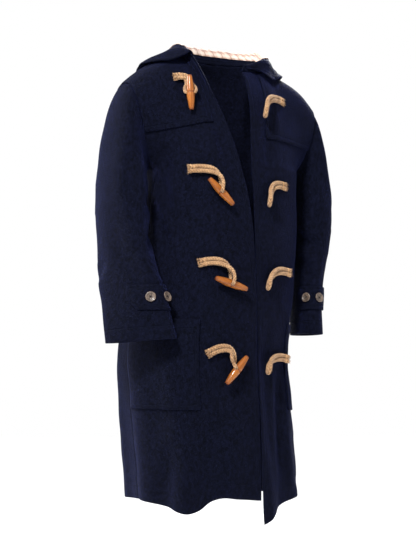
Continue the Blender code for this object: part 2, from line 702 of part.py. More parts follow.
# Ropes, doubled. Each row has the middle of the two strands from the sewn end on, and what
# faces out of the cloth there. Past the route the strand either turns in an open eye or
# goes through the hole of a toggle, where it is thinner: half the distance between the
# strands there, the direction from the middle to the first strand and, of an eye, the
# direction of its far point.
ROPE_RADIUS = 0.0045
ROPE_HALF_SPAN = 0.0048
ROPE_STEPS = 9
ROPE_ROUND_STEPS = 8
ROPE_THIN = 0.68
HOLE_APPROACH = 0.60
HOLE_CORNER = 1.05
HOLE_INSIDE = 0.0060
ROPES = {
    "toggle_rope_1": {
        "route": ((-0.1515, -0.0808, -0.0835), (-0.1380, -0.0820, -0.0810),
                  (-0.1272, -0.0842, -0.0828), (-0.1228, -0.0868, -0.0920),
                  (-0.1228, -0.0945, -0.1060), (-0.1279, -0.1089, -0.1222)),
        "facing": (-0.09, -0.82, 0.57), "radius": 0.0126,
        "across": (-0.88, 0.47, 0.0), "about": "toggle_1",
    },
    "toggle_rope_2": {
        "route": ((-0.1270, -0.1120, -0.2970), (-0.1115, -0.1215, -0.2960),
                  (-0.0925, -0.1320, -0.2970), (-0.0785, -0.1395, -0.3015),
                  (-0.0690, -0.1460, -0.3110), (-0.0650, -0.1495, -0.3260),
                  (-0.0668, -0.1512, -0.3485)),
        "facing": (-0.50, -0.86, 0.03), "radius": 0.0126,
        "across": (-0.34, -0.94, 0.04), "about": "toggle_2",
    },
    "toggle_rope_3": {
        "route": ((-0.1075, -0.1335, -0.5100), (-0.0890, -0.1400, -0.5055),
                  (-0.0715, -0.1458, -0.5050), (-0.0565, -0.1528, -0.5095),
                  (-0.0450, -0.1578, -0.5200), (-0.0405, -0.1618, -0.5345),
                  (-0.0432, -0.1634, -0.5550)),
        "facing": (-0.31, -0.95, 0.09), "radius": 0.0126,
        "across": (-0.47, -0.88, 0.00), "about": "toggle_3",
    },
    "toggle_rope_4": {
        "route": ((-0.0930, -0.1558, -0.7120), (-0.0770, -0.1588, -0.7035),
                  (-0.0595, -0.1618, -0.6995), (-0.0460, -0.1653, -0.7020),
                  (-0.0400, -0.1693, -0.7110), (-0.0415, -0.1737, -0.7280),
                  (-0.0321, -0.1751, -0.7477)),
        "facing": (-0.20, -0.98, 0.02), "radius": 0.0136,
        "across": (-0.61, -0.60, 0.51), "about": "toggle_4",
    },
    "loop_rope_1": {
        "route": ((0.1279, -0.0879, -0.1071), (0.1160, -0.0924, -0.1052),
                  (0.0970, -0.1065, -0.1075), (0.0760, -0.1235, -0.1135),
                  (0.0610, -0.1350, -0.1240), (0.0540, -0.1410, -0.1370),
                  (0.0500, -0.1440, -0.1520)),
        "facing": (0.32, -0.90, 0.30), "radius": 0.0090,
        "across": (-0.40, -0.91, 0.10), "beyond": (-0.25, -0.20, -0.95), "about": None,
    },
    "loop_rope_2": {
        "route": ((0.1117, -0.1314, -0.3175), (0.0935, -0.1376, -0.3165),
                  (0.0790, -0.1420, -0.3195), (0.0685, -0.1465, -0.3285),
                  (0.0625, -0.1510, -0.3435), (0.0585, -0.1550, -0.3595)),
        "facing": (0.42, -0.91, 0.02), "radius": 0.0090,
        "across": (-0.42, -0.90, 0.05), "beyond": (-0.24, -0.20, -0.95), "about": None,
    },
    "loop_rope_3": {
        "route": ((0.1315, -0.1257, -0.5175), (0.1075, -0.1357, -0.5155),
                  (0.0890, -0.1427, -0.5180), (0.0725, -0.1492, -0.5270),
                  (0.0615, -0.1552, -0.5395), (0.0560, -0.1602, -0.5515)),
        "facing": (0.58, -0.82, 0.0), "radius": 0.0090,
        "across": (-0.36, -0.93, 0.05), "beyond": (-0.30, -0.20, -0.93), "about": None,
    },
    "loop_rope_4": {
        "route": ((0.1303, -0.1253, -0.7185), (0.1093, -0.1323, -0.7155),
                  (0.0888, -0.1413, -0.7175), (0.0713, -0.1513, -0.7240),
                  (0.0623, -0.1578, -0.7325), (0.0578, -0.1633, -0.7430)),
        "facing": (0.60, -0.80, 0.04), "radius": 0.0090,
        "across": (-0.26, -0.96, 0.06), "beyond": (-0.25, -0.15, -0.95), "about": None,
    },
}


def unit(vector):
    vector = np.array(vector, dtype=float)
    return vector / np.linalg.norm(vector)


def eye_frame(rope):
    """The directions across and beyond of an open eye, at right angles to its axis."""
    axis = unit(np.cross(rope["across"], rope["beyond"]))
    across = unit(np.array(rope["across"]))
    return across, np.cross(axis, across)


def hole_direction(rope):
    """The way of a toggle's hole, at right angles to the toggle, to the first strand."""
    axis = unit(TOGGLES[rope["about"]]["axis"])
    across = np.array(rope["across"])
    return unit(across - axis * np.dot(axis, across))


def eye_turns(rope, centre):
    """The middle of the strand round an open eye, without its first and last place."""
    across, beyond = eye_frame(rope)
    turns = []
    for i in range(1, ROPE_ROUND_STEPS):
        angle = math.pi * i / ROPE_ROUND_STEPS
        spoke = across * math.cos(angle) + beyond * math.sin(angle)
        turns.append(centre + spoke * rope["radius"])
    return turns


def hole_turns(rope, centre, along):
    """The middle of the strand where it bends into a toggle's hole and out of it again."""
    across = hole_direction(rope)
    axis = unit(TOGGLES[rope["about"]]["axis"])
    level = along - across * np.dot(across, along)
    level /= np.linalg.norm(level - axis * np.dot(axis, level))
    sides = []
    for way in (across, -across):
        before = centre + (way - level * HOLE_APPROACH) * rope["radius"]
        corner = centre + way * rope["radius"] * HOLE_CORNER
        inside = centre + way * HOLE_INSIDE
        bend = []
        for t in (0.0, 0.25, 0.5, 0.75, 1.0):
            bend.append(before * (1 - t) ** 2 + corner * 2 * t * (1 - t) + inside * t ** 2)
        sides.append(bend)
    return sides[0] + sides[1][::-1]


def rope_points(name):
    """The middle of one strand, there and back, and the share of its thickness at each place."""
    rope = ROPES[name]
    route = np.array(rope["route"])
    steps = np.linalg.norm(np.diff(route, axis=0), axis=1)
    along = np.concatenate(((0.0,), np.cumsum(steps))) / steps.sum()
    table = {"along": along, "x": route[:, 0], "y": route[:, 1], "z": route[:, 2]}
    held = rope["about"] is not None
    shares = [i / ROPE_STEPS for i in range(ROPE_STEPS + 1)]
    middle = np.array([table_point(table, ("x", "y", "z"), share) for share in shares])
    tangents = np.gradient(middle, axis=0)
    across = hole_direction(rope) if held else eye_frame(rope)[0]
    opening = (0.50, 0.80) if held else (0.60, 1.00)
    kept = ROPE_STEPS - 1 if held else ROPE_STEPS + 1
    out, back, thick = [], [], []
    for share, point, tangent in list(zip(shares, middle, tangents))[:kept]:
        side = unit(np.cross(tangent, rope["facing"]))
        turned = ease(opening[0] - 0.20, opening[1] - 0.04, share)
        offset = unit(side * (1 - turned) + across * turned)
        opened = ease(*opening, share)
        span = ROPE_HALF_SPAN + (rope["radius"] - ROPE_HALF_SPAN) * opened
        out.append(point + offset * span)
        back.append(point - offset * span)
        thick.append(1 - (1 - ROPE_THIN) * opened if held else 1.0)
    if held:
        turns = hole_turns(rope, np.array(TOGGLES[rope["about"]]["middle"]), unit(tangents[-1]))
        thin = ROPE_THIN
    else:
        turns = eye_turns(rope, route[-1])
        thin = 1.0
    return out + turns + back[::-1], thick + [thin] * len(turns) + thick[::-1]


def pierced_toggle(name, toggle, across):
    """A turned toggle with an open hole through its middle."""
    axis = unit(toggle["axis"])
    upward = np.cross(axis, across)
    low, high = TOGGLE_HOLE_ROWS
    half = TOGGLE_SIDES // 2
    inside = [(row, column) for row in range(low + 1, high) for column in (0, half)]
    points, place = [], {}
    for row, along in enumerate(TOGGLE_PROFILE["along"]):
        for column in range(TOGGLE_SIDES):
            turn = 2 * math.pi * column / TOGGLE_SIDES
            spoke = across * math.cos(turn) + upward * math.sin(turn)
            reach = spoke * TOGGLE_PROFILE["radius"][row]
            if (row, column) not in inside:
                place[row, column] = len(points)
                points.append(np.array(toggle["middle"]) + axis * along + reach)
    faces = []
    rings = len(TOGGLE_PROFILE["along"])
    for row in range(rings - 1):
        for column in range(TOGGLE_SIDES):
            after = (column + 1) % TOGGLE_SIDES
            corners = ((row, column), (row, after), (row + 1, after), (row + 1, column))
            opened = low <= row < high and (column in (0, half) or after in (0, half))
            if not opened:
                faces.append(tuple(place[corner] for corner in corners))
    faces.append(tuple(place[0, column] for column in range(TOGGLE_SIDES))[::-1])
    faces.append(tuple(place[rings - 1, column] for column in range(TOGGLE_SIDES)))
    rim = [(low, -1), (low, 0)] + [(row, 1) for row in range(low, high + 1)]
    rim += [(high, 0)] + [(row, -1) for row in range(high, low, -1)]
    near = [place[row, column % TOGGLE_SIDES] for row, column in rim]
    far = [place[row, half - column] for row, column in rim]
    for i, here in enumerate(near):
        j = (i + 1) % len(near)
        faces.append((here, near[j], far[j], far[i]))
    return add_object(name, points, faces, toggle_wood())


def make_toggles():
    for rope in ROPES.values():
        if rope["about"]:
            toggle = TOGGLES[rope["about"]]
            pierced_toggle(rope["about"], toggle, hole_direction(rope))


def make_ropes():
    for name in ROPES:
        points, thick = rope_points(name)
        curve = bpy.data.curves.new(name, "CURVE")
        curve.dimensions = "3D"
        curve.bevel_depth = ROPE_RADIUS
        curve.bevel_resolution = 2
        curve.use_fill_caps = True
        spline = curve.splines.new("POLY")
        spline.points.add(len(points) - 1)
        for spot, point, share in zip(spline.points, points, thick):
            spot.co = (*[float(v) for v in point], 1.0)
            spot.radius = share
        curve.materials.append(jute_rope())
        made = bpy.data.objects.new(name, curve)
        bpy.context.scene.collection.objects.link(made)


# The hood, laid back: sections from the neck seam over the roll, down into the pouch and
# up to the rim, as how far each point lies out from the seam and above it.
HOOD_STATIONS = (
    {"round": 0.00, "facing": 2.6, "swing": -14,
     "out": (0.0000, 0.0006, 0.0016, 0.0034, 0.0056, 0.0080, 0.0100, 0.0118, 0.0130),
     "up": (0.0000, 0.0034, 0.0056, 0.0072, 0.0080, 0.0078, 0.0068, 0.0050, 0.0030)},
    {"round": 0.09, "facing": 2.6, "swing": -8,
     "out": (0.000, 0.002, 0.006, 0.013, 0.021, 0.030, 0.039, 0.047, 0.054),
     "up": (0.000, 0.008, 0.012, 0.012, 0.008, 0.001, -0.008, -0.017, -0.026)},
    {"round": 0.17, "facing": 2.6, "swing": 0,
     "out": (0.000, 0.003, 0.008, 0.017, 0.031, 0.047, 0.063, 0.076, 0.085),
     "up": (0.000, 0.010, 0.016, 0.014, 0.004, -0.006, -0.015, -0.022, -0.033)},
    {"round": 0.31, "facing": 4.6, "swing": 46,
     "out": (0.000, 0.003, 0.010, 0.030, 0.050, 0.076, 0.100, 0.112, 0.110),
     "up": (0.000, 0.013, 0.018, -0.006, -0.060, -0.106, -0.096, -0.066, -0.046)},
    {"round": 0.40, "facing": 5.4, "swing": 71,
     "out": (0.000, 0.003, 0.011, 0.036, 0.057, 0.082, 0.112, 0.130, 0.127),
     "up": (0.000, 0.022, 0.034, -0.010, -0.095, -0.176, -0.158, -0.096, -0.042)},
    {"round": 0.50, "facing": 6.2, "swing": 90,
     "out": (0.000, 0.003, 0.014, 0.044, 0.063, 0.088, 0.124, 0.146, 0.142),
     "up": (0.000, 0.022, 0.034, -0.020, -0.130, -0.235, -0.212, -0.120, -0.040)},
    {"round": 0.69, "facing": 4.6, "swing": 128,
     "out": (0.000, 0.004, 0.014, 0.036, 0.056, 0.080, 0.104, 0.117, 0.114),
     "up": (0.000, 0.018, 0.031, 0.018, -0.040, -0.093, -0.081, -0.045, -0.017)},
    {"round": 0.84, "facing": 2.6, "swing": 166,
     "out": (0.000, 0.003, 0.009, 0.018, 0.028, 0.036, 0.043, 0.048, 0.051),
     "up": (0.000, 0.014, 0.026, 0.031, 0.027, 0.018, 0.007, -0.005, -0.016)},
    {"round": 1.00, "facing": 2.6, "swing": 174,
     "out": (0.000, 0.001, 0.002, 0.004, 0.006, 0.008, 0.010, 0.011, 0.012),
     "up": (0.000, 0.004, 0.007, 0.010, 0.012, 0.012, 0.011, 0.009, 0.006)},
)
HOOD_ROWS = 12
FACING_ROW = 8
LINING_MARGIN = 4
HOOD_CLEAR = 0.0082
HOOD_CLEAR_ROW = 3
HOOD_REACH = 0.040
HOOD_OVER = 0.9
HOOD_ROUNDS = 4


def neck_seam(grids):
    """The neckline from the right front corner round the back to the left, halved once."""
    right = [i for i, s in enumerate(panel_shares("front_right")) if s <= NECK_SHARE_RIGHT + 1e-6]
    left = [i for i, s in enumerate(panel_shares("front_left")) if s <= NECK_SHARE_LEFT + 1e-6]
    first = round((1 - NECK_SHARE_BACK) / 2 * BACK_COLUMNS)
    points = [grids["front_right"][-1, i] for i in right]
    points += [grids["back"][-1, i] for i in range(BACK_COLUMNS - first - 1, first, -1)]
    points += [grids["front_left"][-1, i] for i in left[::-1]]
    seam = [points[0]]
    for before, after in zip(points, points[1:]):
        seam.append((before + after) / 2)
        seam.append(after)
    return seam


def hood_section(along):
    """The section at a share of the neckline: a list of (out, up), facing and swing."""
    places = np.array([station["round"] for station in HOOD_STATIONS])

    def mix(values):
        table = {"round": places, "value": values}
        return float(read(table, "round", "value", along))

    count = len(HOOD_STATIONS[0]["out"])
    outs = [mix([station["out"][k] for station in HOOD_STATIONS]) for k in range(count)]
    ups = [mix([station["up"][k] for station in HOOD_STATIONS]) for k in range(count)]
    facing = mix([station["facing"] for station in HOOD_STATIONS])
    swing = mix([station["swing"] for station in HOOD_STATIONS])
    return outs, ups, facing, math.radians(swing)


def hood_grid(grids):
    """The hood's cloth on its outer side, rows from the neck seam to the rim."""
    seam = neck_seam(grids)
    columns = []
    for i, foot in enumerate(seam):
        outs, ups, facing, swing = hood_section(i / (len(seam) - 1))
        away = np.array((-math.cos(swing), math.sin(swing), 0.0))
        knots = {"knot": range(len(outs)), "out": outs, "up": ups}
        line = []
        for row in range(HOOD_ROWS + 1):
            if row <= FACING_ROW:
                at = facing * row / FACING_ROW
            else:
                rest = HOOD_ROWS - FACING_ROW
                at = facing + (len(outs) - 1 - facing) * (row - FACING_ROW) / rest
            out = float(read(knots, "knot", "out", at))
            up = float(read(knots, "knot", "up", at))
            line.append(foot + away * out + np.array((0.0, 0.0, up + SEAM_GAP)))
        columns.append(line)
    return np.array(columns).transpose(1, 0, 2)


def shoulder_skin(grids, normals):
    """The outer side of the yokes, as a tree that finds the nearest place on it."""
    low = len(BODY_ROWS) + 2
    points, faces = [], []
    for piece, grid in grids.items():
        top = (grid + normals[piece] * (LAYER_GAP + CLOTH))[low:]
        rows, columns = top.shape[:2]
        base = len(points)
        points += [Vector(point) for point in top.reshape(-1, 3).tolist()]
        for r in range(rows - 1):
            for c in range(columns - 1):
                a = base + r * columns + c
                face = (a, a + 1, a + columns + 1, a + columns)
                faces.append(face[::-1] if piece == "front_right" else face)
    return BVHTree.FromPolygons(points, faces)


def rest_on_shoulders(outer, grids, normals):
    """Moves the hood's points out to where they clear the yokes that they lie on."""
    skin = shoulder_skin(grids, normals)
    moved = outer.copy()
    for row in range(1, len(outer)):
        clear = HOOD_CLEAR * min(row / HOOD_CLEAR_ROW, 1.0)
        for column in range(outer.shape[1]):
            point = Vector(outer[row, column])
            for _ in range(HOOD_ROUNDS):
                near, facing, _, reach = skin.find_nearest(point)
                depth = (point - near).dot(facing)
                over = abs(depth) > HOOD_OVER * reach
                if over and reach < HOOD_REACH and depth < clear:
                    point += facing * (clear - depth)
            moved[row, column] = point
    return moved


def make_hood(grids, normals):
    outer = rest_on_shoulders(hood_grid(grids), grids, normals)
    facing = grid_normals(outer)
    if facing[1, len(facing[1]) // 2][1] > 0:
        facing = -facing
    level = facing[0] * np.array((1.0, 1.0, 0.0))
    facing[0] = level / np.linalg.norm(level, axis=1, keepdims=True)
    inner = outer + facing * CLOTH
    cloth_wall("hood", outer, inner, navy_wool())
    part = (slice(1, FACING_ROW + 1), slice(LINING_MARGIN, -LINING_MARGIN))
    near = inner[part] + facing[part] * LAYER_GAP
    far = near + facing[part] * LINING
    cloth_wall("hood_lining", far, near, checked_lining())


def clear_scene():
    for thing in list(bpy.data.objects):
        bpy.data.objects.remove(thing, do_unlink=True)


def main():
    clear_scene()
    grids, normals = body_panels()
    make_panels(grids, normals)
    make_yokes(grids, normals)
    make_pockets(grids, normals)
    make_cuff_straps(make_sleeves(grids, normals))
    make_hood(grids, normals)
    make_toggles()
    make_ropes()


main()
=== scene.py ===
import math

import bpy
import numpy as np
from mathutils import Matrix, Vector
from mathutils.bvhtree import BVHTree


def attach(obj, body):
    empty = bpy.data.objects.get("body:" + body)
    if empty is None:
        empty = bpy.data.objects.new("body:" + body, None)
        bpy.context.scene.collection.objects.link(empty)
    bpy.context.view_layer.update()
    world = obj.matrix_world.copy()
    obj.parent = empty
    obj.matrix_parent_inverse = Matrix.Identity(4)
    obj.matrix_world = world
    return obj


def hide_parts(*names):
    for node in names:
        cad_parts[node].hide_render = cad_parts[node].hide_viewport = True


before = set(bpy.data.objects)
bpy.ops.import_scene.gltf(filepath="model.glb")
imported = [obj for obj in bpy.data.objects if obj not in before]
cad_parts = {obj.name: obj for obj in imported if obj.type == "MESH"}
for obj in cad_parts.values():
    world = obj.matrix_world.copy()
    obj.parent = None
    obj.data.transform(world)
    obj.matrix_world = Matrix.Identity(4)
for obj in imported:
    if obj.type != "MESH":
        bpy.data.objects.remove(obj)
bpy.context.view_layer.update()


# A smooth reading of one column of a table, at a value of another column.
def readTable(table, column, value, at="height"):
    xs = np.array(table[at], dtype=float)
    ys = np.array(table[column], dtype=float)
    slopes = np.gradient(ys, xs)
    value = np.clip(value, xs.min(), xs.max())
    i = np.clip(np.searchsorted(xs, value) - 1, 0, len(xs) - 2)
    step = xs[i + 1] - xs[i]
    t = (value - xs[i]) / step
    return float(hermite(ys[i], slopes[i] * step, ys[i + 1], slopes[i + 1] * step, t))


def hermite(start, leave, end, arrive, t):
    return (start * (2 * t**3 - 3 * t**2 + 1) + leave * (t**3 - 2 * t**2 + t)
            + end * (3 * t**2 - 2 * t**3) + arrive * (t**3 - t**2))


def ease(low, high, value):
    t = np.clip((value - low) / (high - low), 0.0, 1.0)
    return t * t * (3 - 2 * t)


def unit(vector):
    vector = np.array(vector, dtype=float)
    return vector / np.linalg.norm(vector, axis=-1, keepdims=True)


def signedPower(value, power):
    return math.copysign(abs(value) ** power, value)


def wholeTurn(count):
    return 2 * math.pi * np.arange(count) / count


def running(steps):
    return np.concatenate(((0.0,), np.cumsum(steps)))


cameraSettings = {
    "place": (-1.30131, -2.43269, -0.7771),
    "heading": -27.872,
    "pitch": 3.082,
    "roll": -1.080,
    "focalPixels": 1165.8,
    "picture": (416, 555),
    "shiftPixels": 42.5,
    "sensor": 24.0,
    "clipEnd": 50.0,
}


def addObject(name, data):
    made = bpy.data.objects.new(name, data)
    bpy.context.scene.collection.objects.link(made)
    return made


def makeCamera(s):
    data = bpy.data.cameras.new("photoCamera")
    data.sensor_fit = "VERTICAL"
    data.sensor_height = s["sensor"]
    data.lens = s["focalPixels"] * s["sensor"] / s["picture"][1]
    data.shift_y = s["shiftPixels"] / s["picture"][1]
    data.clip_end = s["clipEnd"]
    camera = addObject("photoCamera", data)
    turn = Matrix()
    for angle, axis in ((s["heading"], "Z"), (s["pitch"] + 90, "X"), (-s["roll"], "Z")):
        turn = turn @ Matrix.Rotation(math.radians(angle), 4, axis)
    camera.matrix_world = Matrix.Translation(s["place"]) @ turn
    bpy.context.scene.camera = camera


makeCamera(cameraSettings)
print("camera set")


def addNode(tree, kind, inputs=None, **settings):
    node = tree.nodes.new(kind)
    for key, value in settings.items():
        setattr(node, key, value)
    for key, value in (inputs or {}).items():
        feed(tree, node.inputs[key], value)
    return node


def feed(tree, socket, value):
    if isinstance(value, bpy.types.NodeSocket):
        tree.links.new(value, socket)
    else:
        socket.default_value = value


def calc(tree, operation, *values):
    node = addNode(tree, "ShaderNodeMath", operation=operation)
    for i, value in enumerate(values):
        feed(tree, node.inputs[i], value)
    return node.outputs[0]


def times(tree, first, second):
    return calc(tree, "MULTIPLY", first, second)


def mixColours(tree, factor, first, second):
    inputs = {0: factor, 6: first, 7: second}
    return addNode(tree, "ShaderNodeMix", inputs, data_type="RGBA").outputs[2]


# A colour laid over another where the mask is, as far as the share.
def layer(tree, colour, over, mask, share):
    return mixColours(tree, times(tree, mask, share), colour, over)


def spread(tree, value, low, high, out=(0.0, 1.0)):
    keys = ("Value", "From Min", "From Max", "To Min", "To Max")
    inputs = dict(zip(keys, (value, low, high, *out)))
    return addNode(tree, "ShaderNodeMapRange", inputs, interpolation_type="SMOOTHSTEP").outputs[0]


def newGroup(name, inputs, outputs):
    group = bpy.data.node_groups.new(name, "ShaderNodeTree")
    for label, value in inputs.items():
        kind = "NodeSocketFloat" if isinstance(value, float) else "NodeSocketVector"
        socket = group.interface.new_socket(name=label, in_out="INPUT", socket_type=kind)
        socket.default_value = value
    for label in outputs:
        group.interface.new_socket(name=label, in_out="OUTPUT", socket_type="NodeSocketFloat")
    ends = [group.nodes.new(kind) for kind in ("NodeGroupInput", "NodeGroupOutput")]
    return group, ends[0].outputs, ends[1].inputs


def addGroup(tree, group, inputs):
    return addNode(tree, "ShaderNodeGroup", inputs, node_tree=group).outputs


# Loose fibres: a fine noise over a broad one, stretched by the scale given on each axis.
# Each noise has its detail, roughness, distortion and share.
fibreSettings = {"Broad": (4.0, 0.6, 0.4, 0.6), "Fine": (3.0, 0.7, 1.2, 0.4), "mask": (0.36, 0.64)}


def makeFibreGroup(s):
    group, start, end = newGroup("looseFibres", {"Vector": (0, 0, 0), "Scale": (1, 1, 1),
                                                 "Broad": 12.0, "Fine": 700.0}, ("Mask", "Fuzz"))
    scaled = addNode(group, "ShaderNodeVectorMath", {0: start["Vector"], 1: start["Scale"]},
                     operation="MULTIPLY").outputs[0]
    total = 0.0
    for name in ("Broad", "Fine"):
        detail, roughness, distortion, share = s[name]
        noise = addNode(group, "ShaderNodeTexNoise", {
            "Vector": scaled, "Scale": start[name], "Detail": detail, "Roughness": roughness,
            "Distortion": distortion}).outputs[0]
        total = calc(group, "ADD", total, times(group, noise, share))
    feed(group, end["Mask"], spread(group, total, *s["mask"]))
    feed(group, end["Fuzz"], noise)
    return group


# A row of stitches along the line where Across is 0, both in metres.
stitchSettings = {"length": 0.0045, "width": 0.0011, "valley": 3.2, "dash": (0.42, 0.30)}


def makeStitchGroup(s):
    group, start, end = newGroup("stitchLine", {"Across": 0.05, "Along": 0.0, "Stitch": s["length"],
                                                "Width": s["width"]}, ("Thread", "Groove"))
    off = calc(group, "ABSOLUTE", start["Across"])
    line = spread(group, off, start["Width"], 0.0)
    valley = spread(group, off, times(group, start["Width"], s["valley"]), 0.0)
    share = calc(group, "FRACT", calc(group, "DIVIDE", start["Along"], start["Stitch"]))
    middle = calc(group, "ABSOLUTE", calc(group, "SUBTRACT", share, 0.5))
    feed(group, end["Thread"], times(group, line, spread(group, middle, *s["dash"])))
    feed(group, end["Groove"], valley)
    return group


fibreGroup = makeFibreGroup(fibreSettings)
stitchGroup = makeStitchGroup(stitchSettings)


# A material with its constant values set on the shader, and the object's own coordinates.
def newMaterial(name, values):
    material = bpy.data.materials.new(name)
    material.use_nodes = True
    tree = material.node_tree
    shader = tree.nodes["Principled BSDF"]
    for key, value in values.items():
        shader.inputs[key].default_value = value
    return material, tree, addNode(tree, "ShaderNodeTexCoord").outputs["Object"]


def uvAxes(tree, label):
    uv = addNode(tree, "ShaderNodeUVMap", uv_map=label).outputs[0]
    return addNode(tree, "ShaderNodeSeparateXYZ", {"Vector": uv}).outputs[:2]


def addFibres(tree, place, broad, fine, scale=(1, 1, 1)):
    inputs = {"Vector": place, "Scale": scale, "Broad": broad, "Fine": fine}
    return addGroup(tree, fibreGroup, inputs)


def finishMaterial(tree, colour, height, strength=1.0):
    bump = addNode(tree, "ShaderNodeBump", {"Height": height, "Distance": 1.0,
                                            "Strength": strength})
    shader = tree.nodes["Principled BSDF"]
    feed(tree, shader.inputs["Base Color"], colour)
    feed(tree, shader.inputs["Normal"], bump.outputs[0])


woolSettings = {
    "deep": (0.0004, 0.0006, 0.0020, 1),
    "raised": (0.0017, 0.0022, 0.0072, 1),
    "lint": (0.014, 0.019, 0.046, 1),
    "lintFuzz": (0.58, 0.74),
    "lintShare": 0.45,
    "thread": (0.0022, 0.0030, 0.0085, 1),
    # how far the stitch grooves are darkened: painted shade
    "grooveShadeShare": 0.45,
    "nap": (150.0, 620.0, (1, 1, 0.7)),
    "clump": 190.0,
    "napHeight": 0.0022,
    "clumpShare": 1.3,
    "stitchDepth": 0.0014,
    "threadShare": 0.5,
    "bump": 0.8,
    "shader": {"Roughness": 0.92, "Specular IOR Level": 0.03, "Sheen Weight": 0.050,
               "Sheen Roughness": 0.20, "Sheen Tint": (0.18, 0.24, 1.0, 1)},
}


def makeWool(s):
    material, tree, place = newMaterial("navyMelton", s["shader"])
    nap = addFibres(tree, place, *s["nap"])
    clump = addNode(tree, "ShaderNodeTexNoise", {"Vector": place, "Scale": s["clump"],
                                                 "Detail": 3.0, "Roughness": 0.65})
    across, along = uvAxes(tree, "seam")
    stitch = addGroup(tree, stitchGroup, {"Across": across, "Along": along})
    colour = mixColours(tree, nap["Mask"], s["deep"], s["raised"])
    lint = spread(tree, nap["Fuzz"], *s["lintFuzz"], (0.0, s["lintShare"]))
    colour = mixColours(tree, lint, colour, s["lint"])
    # painted shade: the cloth darkened towards the deep colour in the valley along each stitch row
    colour = layer(tree, colour, s["deep"], stitch["Groove"], s["grooveShadeShare"])
    colour = mixColours(tree, stitch["Thread"], colour, s["thread"])
    height = calc(tree, "ADD", times(tree, nap["Fuzz"], s["napHeight"]),
                  times(tree, clump.outputs[0], s["napHeight"] * s["clumpShare"]))
    height = calc(tree, "SUBTRACT", height, times(tree, stitch["Groove"], s["stitchDepth"]))
    height = calc(tree, "ADD", height,
                  times(tree, stitch["Thread"], s["stitchDepth"] * s["threadShare"]))
    finishMaterial(tree, colour, height, s["bump"])
    return material


liningSettings = {
    "ground": (0.25, 0.155, 0.12, 1),
    "check": 0.022,
    "bands": (((0.46, 0.39, 0.33, 1), 0.30, 0.16, 0.60), ((0.075, 0.032, 0.022, 1), 0.72, 0.06, 0.75)),
    "bandEdge": 0.02,
    "thread": 0.0008,
    "nap": (60.0, 900.0),
    "fuzz": ((0.30, 0.19, 0.15, 1), 0.22),
    "twill": ((0.14, 0.09, 0.07, 1), 0.14),
    "twillHeight": 0.00018,
    "napHeight": 0.00035,
    "shader": {"Roughness": 0.85, "Sheen Weight": 0.15},
}


def makeLining(s):
    material, tree, place = newMaterial("checkedWool", s["shader"])
    x, y = uvAxes(tree, "cloth")
    turn = calc(tree, "DIVIDE", calc(tree, "ADD", x, y), s["thread"] / (2 * math.pi))
    slant = calc(tree, "ADD", times(tree, calc(tree, "SINE", turn), 0.5), 0.5)
    colour = s["ground"]
    for tone, middle, half, share in s["bands"]:
        for coordinate in (x, y):
            at = calc(tree, "FRACT", calc(tree, "DIVIDE", coordinate, s["check"]))
            off = calc(tree, "ABSOLUTE", calc(tree, "SUBTRACT", at, middle))
            band = spread(tree, off, half + s["bandEdge"], half - s["bandEdge"])
            colour = layer(tree, colour, tone, band, share)
    nap = addFibres(tree, place, *s["nap"])
    colour = layer(tree, colour, s["fuzz"][0], nap["Mask"], s["fuzz"][1])
    colour = layer(tree, colour, s["twill"][0], slant, s["twill"][1])
    height = calc(tree, "ADD", times(tree, slant, s["twillHeight"]),
                  times(tree, nap["Fuzz"], s["napHeight"]))
    finishMaterial(tree, colour, height)
    return material


juteSettings = {
    "yarn": (0.185, 0.088, 0.033, 1),
    "pale": (0.36, 0.210, 0.098, 1),
    "fibres": (90.0, 1500.0),
    # the colour of painted shade in the braid's grooves, the relief range it spans, and its share
    "grooveShade": (0.030, 0.013, 0.0045, 1),
    "grooveRelief": (0.78, 0.30),
    "grooveShadeShare": 0.80,
    "fibreHeight": 0.0008,
    "shader": {"Roughness": 0.78, "Specular IOR Level": 0.3, "Sheen Weight": 0.12},
}


def makeJute(s):
    material, tree, place = newMaterial("braidedJute", s["shader"])
    fibres = addFibres(tree, place, *s["fibres"])
    colour = mixColours(tree, fibres["Mask"], s["yarn"], s["pale"])
    # painted shade: where the braid's relief, kept in the seam map, is low, the yarn is darkened towards
    # the groove colour
    grooveShadeMask = spread(tree, uvAxes(tree, "seam")[0], *s["grooveRelief"])
    colour = layer(tree, colour, s["grooveShade"], grooveShadeMask, s["grooveShadeShare"])
    finishMaterial(tree, colour, times(tree, fibres["Fuzz"], s["fibreHeight"]))
    return material


woodSettings = {
    "body": (0.110, 0.029, 0.0035, 1),
    "pale": (0.215, 0.069, 0.0080, 1),
    "streak": (110.0, 300.0, (1, 1, 0.10)),
    "heart": (0.055, 0.012, 0.003, 1),
    "heartShare": 0.40,
    "grain": (420.0, 1900.0, (1, 1, 0.045)),
    "end": (0.075, 0.018, 0.005, 1),
    "ends": ((0.0344, 0.040, 0.75), (0.0022, 0.0008, 0.80)),
    "grainHeight": 0.00025,
    "shader": {"Roughness": 0.40, "Specular IOR Level": 0.10, "Coat Weight": 0.17,
               "Coat Roughness": 0.10},
}


def makeWood(s):
    material, tree, place = newMaterial("varnishedWood", s["shader"])
    grain = addFibres(tree, place, *s["grain"])
    streak = addFibres(tree, place, *s["streak"])
    colour = mixColours(tree, streak["Mask"], s["body"], s["pale"])
    colour = layer(tree, colour, s["heart"], grain["Mask"], s["heartShare"])
    along = addNode(tree, "ShaderNodeSeparateXYZ", {"Vector": place}).outputs[2]
    for start, full, share in s["ends"]:
        near = spread(tree, calc(tree, "ABSOLUTE", along), start, full)
        colour = layer(tree, colour, s["end"], near, share)
    finishMaterial(tree, colour, times(tree, grain["Fuzz"], s["grainHeight"]))
    return material


hornSettings = {
    "dark": (0.012, 0.008, 0.006, 1),
    "pale": (0.080, 0.056, 0.042, 1),
    "cloud": (190.0, 900.0, (1, 0.35, 1)),
    "cloudHeight": 0.0001,
    "shader": {"Roughness": 0.38, "Specular IOR Level": 0.25, "Coat Weight": 0.12,
               "Coat Roughness": 0.12},
}


